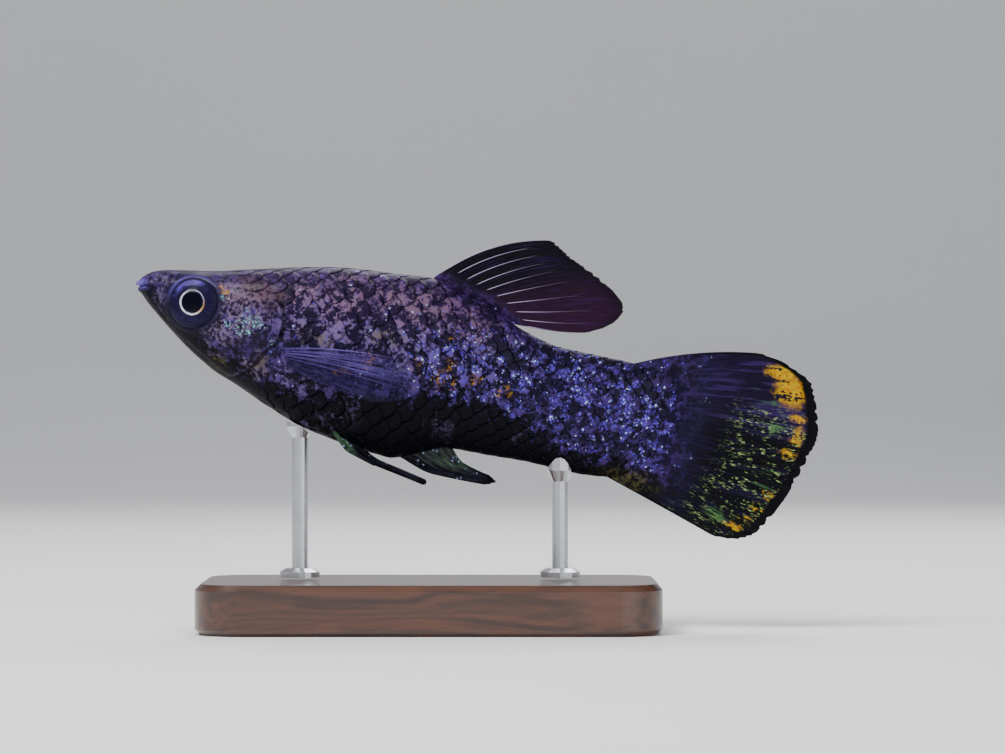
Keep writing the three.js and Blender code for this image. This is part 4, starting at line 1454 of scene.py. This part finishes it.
def outward(piece):
    """Points the faces of a closed piece outwards."""
    shell = bmesh.new()
    shell.from_mesh(piece.data)
    bmesh.ops.recalc_face_normals(shell, faces=shell.faces)
    shell.to_mesh(piece.data)
    shell.free()
    return piece


def rounded_tip(share):
    """Narrows a ray to a round end."""
    past = max(0, share - TIP_START) / (RAY_END - TIP_START)
    return math.sqrt(max(0.06, 1 - past * past))


def whole_ray(fin, middle, thick):
    """A ray that doesn't fork, down to its rounded tip."""
    taper = STOUT_TAPER if "stout" in fin else PLAIN_TAPER
    run = np.append(np.linspace(-fin["sink"], 0.9, 22), np.linspace(0.92, RAY_END, 5))
    return [(middle, s, thick * (1 - taper * s) * rounded_tip(s)) for s in run]


def forked_ray(fin, middle, thick, space):
    """A ray's stem, and the arms and twigs that it splits into."""
    first, second = fin["splits"]
    run = np.linspace(0, 1, 10)
    stem = np.linspace(-fin["sink"], first, 12)
    lines = [[(middle, s, thick * (1 - STEM_TAPER * max(s, 0) / first)) for s in stem]]
    for fork in (-1, 1):
        arm = [(middle + ARM_SPREAD * fork * space * t, first + (second - first) * t) for t in run]
        lines.append([(u, s, thick * (ARM_RADIUS - BRANCH_TAPER * t)) for (u, s), t in zip(arm, run)])
        if second > LAST_FORK:
            continue
        for twig in (-1, 1):
            end = ARM_SPREAD * fork + TWIG_SPREAD * twig * run
            twigs = [(middle + e * space, second + (RAY_END - second) * t) for e, t in zip(end, run)]
            lines.append([(u, s, thick * (TWIG_RADIUS - BRANCH_TAPER * t)) for (u, s), t in zip(twigs, run)])
    return lines


def ray_lines(fin):
    """Every ray's stem and branches: lists of (u, share, radius)."""
    space = 1 / (fin["rays"] - 1)
    lines = []
    for ray in range(fin["rays"]):
        middle = ray * space
        thick = fin["ray"]
        if "stout" in fin:
            thick *= 1 + STOUT_EXTRA * (1 - smooth_step(middle, 0, fin["stout"]))
        if ray in (0, fin["rays"] - 1) or middle < fin.get("stout", 0):
            lines.append(whole_ray(fin, middle, thick))
        else:
            lines += forked_ray(fin, middle, thick, space)
    return lines


def rays_tree():
    """Turns lines of edges into round, tapering rays."""
    inputs = [("Sides", "NodeSocketInt"), ("Finish", "NodeSocketMaterial")]
    board, given, out = new_geometry_tree("Fin rays", inputs)
    line = board.add("GeometryNodeMeshToCurve", {"Mesh": given["Geometry"]}).outputs[0]
    ring = board.add("GeometryNodeCurvePrimitiveCircle", {"Resolution": given["Sides"], "Radius": 1.0})
    inputs = {"Curve": line, "Profile Curve": ring.outputs[0], "Fill Caps": True}
    inputs["Scale"] = named(board, "thickness")
    tube = board.add("GeometryNodeCurveToMesh", inputs).outputs[0]
    return end_tree(board, out, tube, given["Finish"])


def fin_rays(name, fin, tree, material):
    """The branching rays of a fin, down into the flesh."""
    flat = []
    edges = []
    for line in ray_lines(fin):
        edges += [(len(flat) + i, len(flat) + i + 1) for i in range(len(line) - 1)]
        flat += line
    across, share, radius = np.array(flat).T
    points = fin_points(fin, np.clip(across, 0, 1), share)
    lines = mesh_object(f"{name}_lines", placed(points), [], edges=edges)
    set_attribute(lines.data, "thickness", radius * MM)
    set_attribute(lines.data, "across", across)
    set_attribute(lines.data, "share", share)
    piece = grown(lines, tree, {"Sides": RAY_SIDES, "Finish": material}, name)
    drop(lines)
    return shade_smooth(piece)


def make_fin(name, fin, tree, materials, slot):
    sheet = membrane(f"fish_{name}", fin, materials[0])
    finished(sheet, name, slot=slot)
    rays = fin_rays(f"fish_{name}_rays", fin, tree, materials[1])
    finished(rays, name, slot=slot)


def fin_fields(board, detail=3):
    """Where a point of a fin lies across its rays and along them, and streaks along the rays."""
    across, share = board.attribute("across"), board.attribute("share")
    stretched = board.joined(across, board.times(share, STREAK_STRETCH))
    return across, share, board.noise(stretched, FIN_STREAKS, detail, 0.6)


def fin_finish(name, paint, markings, cover, tip_cover, is_ray):
    """A fin's membrane or rays, in the flesh's own colours at its root.

    paint(board, is_ray) gives the colour. cover says how little shows through, and tip_cover is
    the share of it that is left at the fin's tip."""
    material, board, shader = new_material(name)
    shown, share, streaks, flesh = paint(board, is_ray)
    finish = {
        "Base Color": board.lay(shown, board.group(markings)["Colour"], flesh),
        "Roughness": 0.5,
        "Specular IOR Level": 0.06,
        "Coat Weight": 0.03,
        "Coat Roughness": 0.2,
        "Normal": bump_from(board, streaks, 0.04),
    }
    if cover < 1:
        web = board.scaled(streaks, 0.3, cover - 0.15)
        web = board.times(web, board.ramp(share, 0.55, 1.0, 1.0, tip_cover))
        finish["Alpha"] = board.math("MAXIMUM", web, board.ramp(share, 0.15, 0.0))
    board.wire(shader, finish)
    return material


def paint_dorsal_fin(board, is_ray):
    """The dorsal fin: near black in front, maroon towards its rear, with pale feet to its rays."""
    across, share, streaks = fin_fields(board)
    shown = board.mix(board.ramp(across, 0.3, 0.85), DORSAL_BLACK, MAROON)
    shown = board.lay(shown, MID_VIOLET, board.ramp(streaks, 0.5, 0.72), 0.25)
    if is_ray:
        fade = board.minus(share, board.ramp(across, 0.5, 0.1, 0.0, 0.3))
        foot = board.scaled(board.ramp(fade, 0.62, 0.1), 0.6, 0.12)
        first = board.times(board.ramp(across, 0.05, 0.0), 0.45)
        shown = board.lay(shown, RAY_LILAC, board.math("MAXIMUM", foot, first))
    shown = board.lay(shown, INK, board.ramp(share, 0.85, 0.98), 0.5)
    return shown, share, streaks, board.ramp(share, 0.09, 0.0)


def tail_dashes(board, across, share):
    """Short pale dashes that lie along the rays."""
    laid = board.stretched(board.joined(board.times(across, DASHES_ACROSS), share), (1, DASHES_ALONG, 1))
    return board.group(GLINTS, {"Place": laid, "Size": 0.16, "Share": 0.5, "Edge": 0.56})


def paint_tail_fin(board, is_ray):
    """The tail fin: violet above, black within, pale dashes, yellow patches and a black rim."""
    across, share, streaks = fin_fields(board)
    where = board.group(FISH_PLACE)
    place, along, height = where["Place"], where["Along"], where["Height"]
    ragged = board.ragged(place, 0.9, 0.75, (3.0, 3.0, 2.2))
    upper = board.ramp(height, 0.5, 4.0)
    shown = board.mix(upper, BLACK, TAIL_VIOLET)
    shown = board.lay(shown, TAIL_ROOT_VIOLET, board.ramp(along, 61.0, 56.0), 0.8)
    shown = board.lay(shown, MID_VIOLET, board.ramp(streaks, 0.48, 0.62), board.scaled(upper, 0.35, 0.15))

    dashes = tail_dashes(board, across, share)
    outer = board.times(board.ramp(share, 0.3, 0.55), board.ramp(height, 5.5, 3.0))
    patchy = board.ramp(board.noise(place, 0.7, 4, 0.7), 0.44, 0.54)
    patchy = board.times(patchy, board.ramp(streaks, 0.38, 0.5))
    green = board.mix(board.ramp(dashes["Pick"], 0.0, 0.7), LEAF_GREEN, PALE_GREEN)
    shown = board.lay(shown, green, dashes["Mask"], outer, patchy, 0.95)
    leafy = board.ramp(streaks, 0.5, 0.62)
    shown = board.lay(shown, LEAF_GREEN, clouds(board, ragged, TAIL_GREEN, 0.6), leafy, 0.6)

    fine = fine_noise(board, place)
    torn = board.swayed(fine, streaks, 1.3)
    yellow = board.times(clouds(board, ragged, TAIL_YELLOW, 0.45), board.ramp(torn, 0.34, 0.44))
    gold = board.times(clouds(board, ragged, TAIL_GOLD, 0.7), board.ramp(torn, 0.5, 0.58))
    golden = board.mix(board.ramp(fine, 0.38, 0.6), AMBER, YELLOW)
    shown = board.lay(shown, golden, board.math("MAXIMUM", yellow, gold))
    if is_ray:
        shown = board.lay(shown, board.mix(upper, PALE_GREEN, TAIL_RAY), board.ramp(share, 0.9, 0.1), 0.22)
    tips = board.ramp(board.scaled(streaks, 0.06, share), 0.935, 0.965)
    sides = board.ramp(board.apart(across, 0.5), 0.48, 0.495)
    shown = board.lay(shown, FIN_RIM, board.math("MAXIMUM", tips, sides))
    return shown, share, streaks, board.ramp(board.scaled(streaks, 5, along), 61.5, 57.0)


def paint_low_fin(board, is_ray):
    """The anal and pelvic fins: black, with pale green feet and small pale dots."""
    across, share, streaks = fin_fields(board)
    shown = board.mix(board.ramp(streaks, 0.4, 0.7), LOW_FIN_BLACK, LOW_FIN_GREY)
    foot = board.times(board.ramp(share, 0.75, 0.1), board.ramp(across, 0.2, 0.45))
    shown = board.lay(shown, LOW_FIN_GREEN, foot, board.ramp(streaks, 0.42, 0.6), 0.55 if is_ray else 0.12)
    inputs = {"Place": board.group(FISH_PLACE)["Place"], "Size": 0.3, "Share": 0.14}
    dots = board.group(GLINTS, inputs)["Mask"]
    shown = board.lay(shown, ICE_BLUE, dots, board.ramp(share, 0.85, 0.6), 0.6)
    shown = board.lay(shown, FIN_RIM, board.ramp(share, 0.8, 0.92))
    return shown, share, streaks, board.ramp(share, 0.06, 0.0)


def paint_pectoral_fin(board, is_ray):
    """The pectoral fins: clear violet, brighter along their upper rays."""
    across, share, streaks = fin_fields(board, detail=0)
    upper = board.ramp(across, 0.62, 0.3)
    shown = board.mix(board.ramp(streaks, 0.4, 0.7), CLEAR_SHADE, CLEAR_VIOLET)
    shown = board.lay(shown, CLEAR_BRIGHT, upper, board.ramp(streaks, 0.4, 0.62), 0.75)
    if is_ray:
        shown = board.lay(shown, CLEAR_RAY, board.scaled(upper, 0.5, 0.12))
    shown = board.lay(shown, CLEAR_TIP, board.ramp(share, 0.5, 1.0), 0.6)
    return shown, share, streaks, board.ramp(share, 0.07, 0.0)


# Stand


def wood_finish():
    """Dark varnished wood with its grain along the base."""
    material, board, shader = new_material("dark_wood")
    place = board.stretched(board.object_place(), 1 / MM)
    sway = board.noise(board.stretched(place, (0.02, 0.08, 0.08)), 1.0, 3, output="Color")
    bent = board.vector("MULTIPLY_ADD", sway, (0.0, 9.0, 9.0), place)
    growth = board.noise(board.stretched(bent, (0.012, 0.8, 0.8)), 1.0, 4, 0.6)
    pores = board.noise(board.stretched(place, (0.3, 7.0, 7.0)), 1.0, 3)
    grain = board.mix(board.ramp(growth, 0.35, 0.65), WOOD_DARK, WOOD_LIGHT)
    finish = {
        "Base Color": board.lay(grain, WOOD_PORE, board.ramp(pores, 0.56, 0.7), 0.6),
        "Roughness": board.scaled(pores, 0.2, 0.26),
        "Coat Weight": 0.5,
        "Coat Roughness": 0.12,
        "Normal": bump_from(board, pores, 0.03, 0.4),
    }
    board.wire(shader, finish)
    return material


def steel_finish():
    """Steel rods brushed round their length."""
    material, board, shader = new_material("brushed_steel")
    seen = board.object_place()
    lines = board.noise(board.stretched(seen, (0.8 / MM, 0.8 / MM, 24 / MM)), 1.0, 3)
    cloudy = board.noise(board.stretched(seen, 1 / MM), 0.6, 3)
    finish = {
        "Base Color": board.mix(cloudy, STEEL_GREY, STEEL_PALE),
        "Roughness": board.scaled(lines, 0.22, 0.2),
        "Metallic": 1.0,
        "Normal": bump_from(board, lines, 0.008, 0.5),
    }
    board.wire(shader, finish)
    return material


def dress_stand():
    """Gives the stand's own solids their finishes."""
    finishes = {"stand_base": wood_finish(), "stand_rod_front": steel_finish()}
    finishes["stand_rod_rear"] = finishes["stand_rod_front"]
    for node, material in finishes.items():
        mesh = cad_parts[node].data
        mesh.materials.clear()
        mesh.materials.append(material)


# Studio


def make_camera():
    """A long lens square to the fish's side, as in the photograph."""
    data = bpy.data.cameras.new("side_camera")
    data.sensor_width = SENSOR_WIDTH
    data.sensor_fit = "HORIZONTAL"
    data.lens = SENSOR_WIDTH * CAMERA_DISTANCE / (IMAGE_WIDTH / PIXELS_PER_MM)
    camera = bpy.data.objects.new("side_camera", data)
    across, height = VIEW_CENTRE
    camera.location = Vector((across, -CAMERA_DISTANCE, height)) * MM
    camera.rotation_euler = (math.pi / 2, 0, 0)
    bpy.context.scene.collection.objects.link(camera)
    bpy.context.scene.camera = camera


def studio_sweep():
    """A pale floor that rises into the backdrop in one curve."""
    depth = [(FLOOR_FRONT, 0), (SWEEP_START, 0)]
    for turn in np.linspace(0, math.pi / 2, SWEEP_STEPS)[1:]:
        depth.append((SWEEP_START + SWEEP_BEND * math.sin(turn), SWEEP_BEND * (1 - math.cos(turn))))
    depth.append((SWEEP_START + SWEEP_BEND, BACKDROP_TOP))
    points = [(side * SWEEP_HALF * MM, y * MM, z * MM) for side in (-1, 1) for y, z in depth]
    count = len(depth)
    faces = [(i, count + i, count + i + 1, i + 1) for i in range(count - 1)]
    material, board, shader = new_material("pale_paper")
    cloudy = board.noise(board.stretched(board.object_place(), 9), 1.0, 3)
    board.wire(shader, {"Base Color": board.mix(cloudy, PAPER_GREY, PAPER_PALE), "Roughness": 0.85})
    sweep = mesh_object("studio_sweep", points, faces, material)
    shade_smooth(sweep)


def soft_light(name, place, size, power, tint):
    """A square area light that faces the fish."""
    data = bpy.data.lights.new(name, "AREA")
    data.size = size * MM
    data.energy = power
    data.color = tint
    light = bpy.data.objects.new(name, data)
    light.location = Vector(place) * MM
    towards = Vector(LIT_POINT) * MM - light.location
    light.rotation_euler = towards.to_track_quat("-Z", "Y").to_euler()
    bpy.context.scene.collection.objects.link(light)


def light_studio():
    for light in LIGHTS:
        soft_light(*light)
    world = bpy.data.worlds.new("soft_room")
    world.use_nodes = True
    background = world.node_tree.nodes["Background"]
    background.inputs["Color"].default_value = ROOM_TINT
    background.inputs["Strength"].default_value = ROOM_LIGHT
    bpy.context.scene.world = world


def make_fins(markings):
    """Every fin: a membrane with rays in it."""
    tree = rays_tree()

    def pair(name, paint, web_cover, ray_cover=1.0, tip_cover=1.0):
        web = fin_finish(f"{name}_web", paint, markings, web_cover, tip_cover, is_ray=False)
        return [web, fin_finish(f"{name}_ray", paint, markings, ray_cover, tip_cover, is_ray=True)]

    dorsal = pair("dorsal", paint_dorsal_fin, 0.95)
    tail = pair("tail", paint_tail_fin, 0.96)
    low = pair("low", paint_low_fin, 0.8)
    clear = pair("pectoral", paint_pectoral_fin, 0.34, 0.6, 0.4)
    make_fin("dorsal_fin", dorsal_fin(), tree, dorsal, "fin")
    make_fin("tail_fin", tail_fin(), tree, tail, "fin")
    make_fin("anal_fin", anal_fin(), tree, low, "fin")
    for word, side in (("left", -1), ("right", 1)):
        make_fin(f"pectoral_fin_{word}", pectoral_fin(side), tree, clear, "pale_fin")
        make_fin(f"pelvic_fin_{word}", pelvic_fin(side), tree, low, "fin")


def make_fish():
    markings = markings_group()
    skin = make_skin(flesh_material("wet_skin", markings, scaled=False))
    make_scales(skin, flesh_material("wet_scales", markings, scaled=True))
    finish = eye_material()
    for word, side in (("left", -1), ("right", 1)):
        make_eye(word, side, finish)
    make_fins(markings)


make_camera()
make_fish()
dress_stand()
studio_sweep()
light_studio()
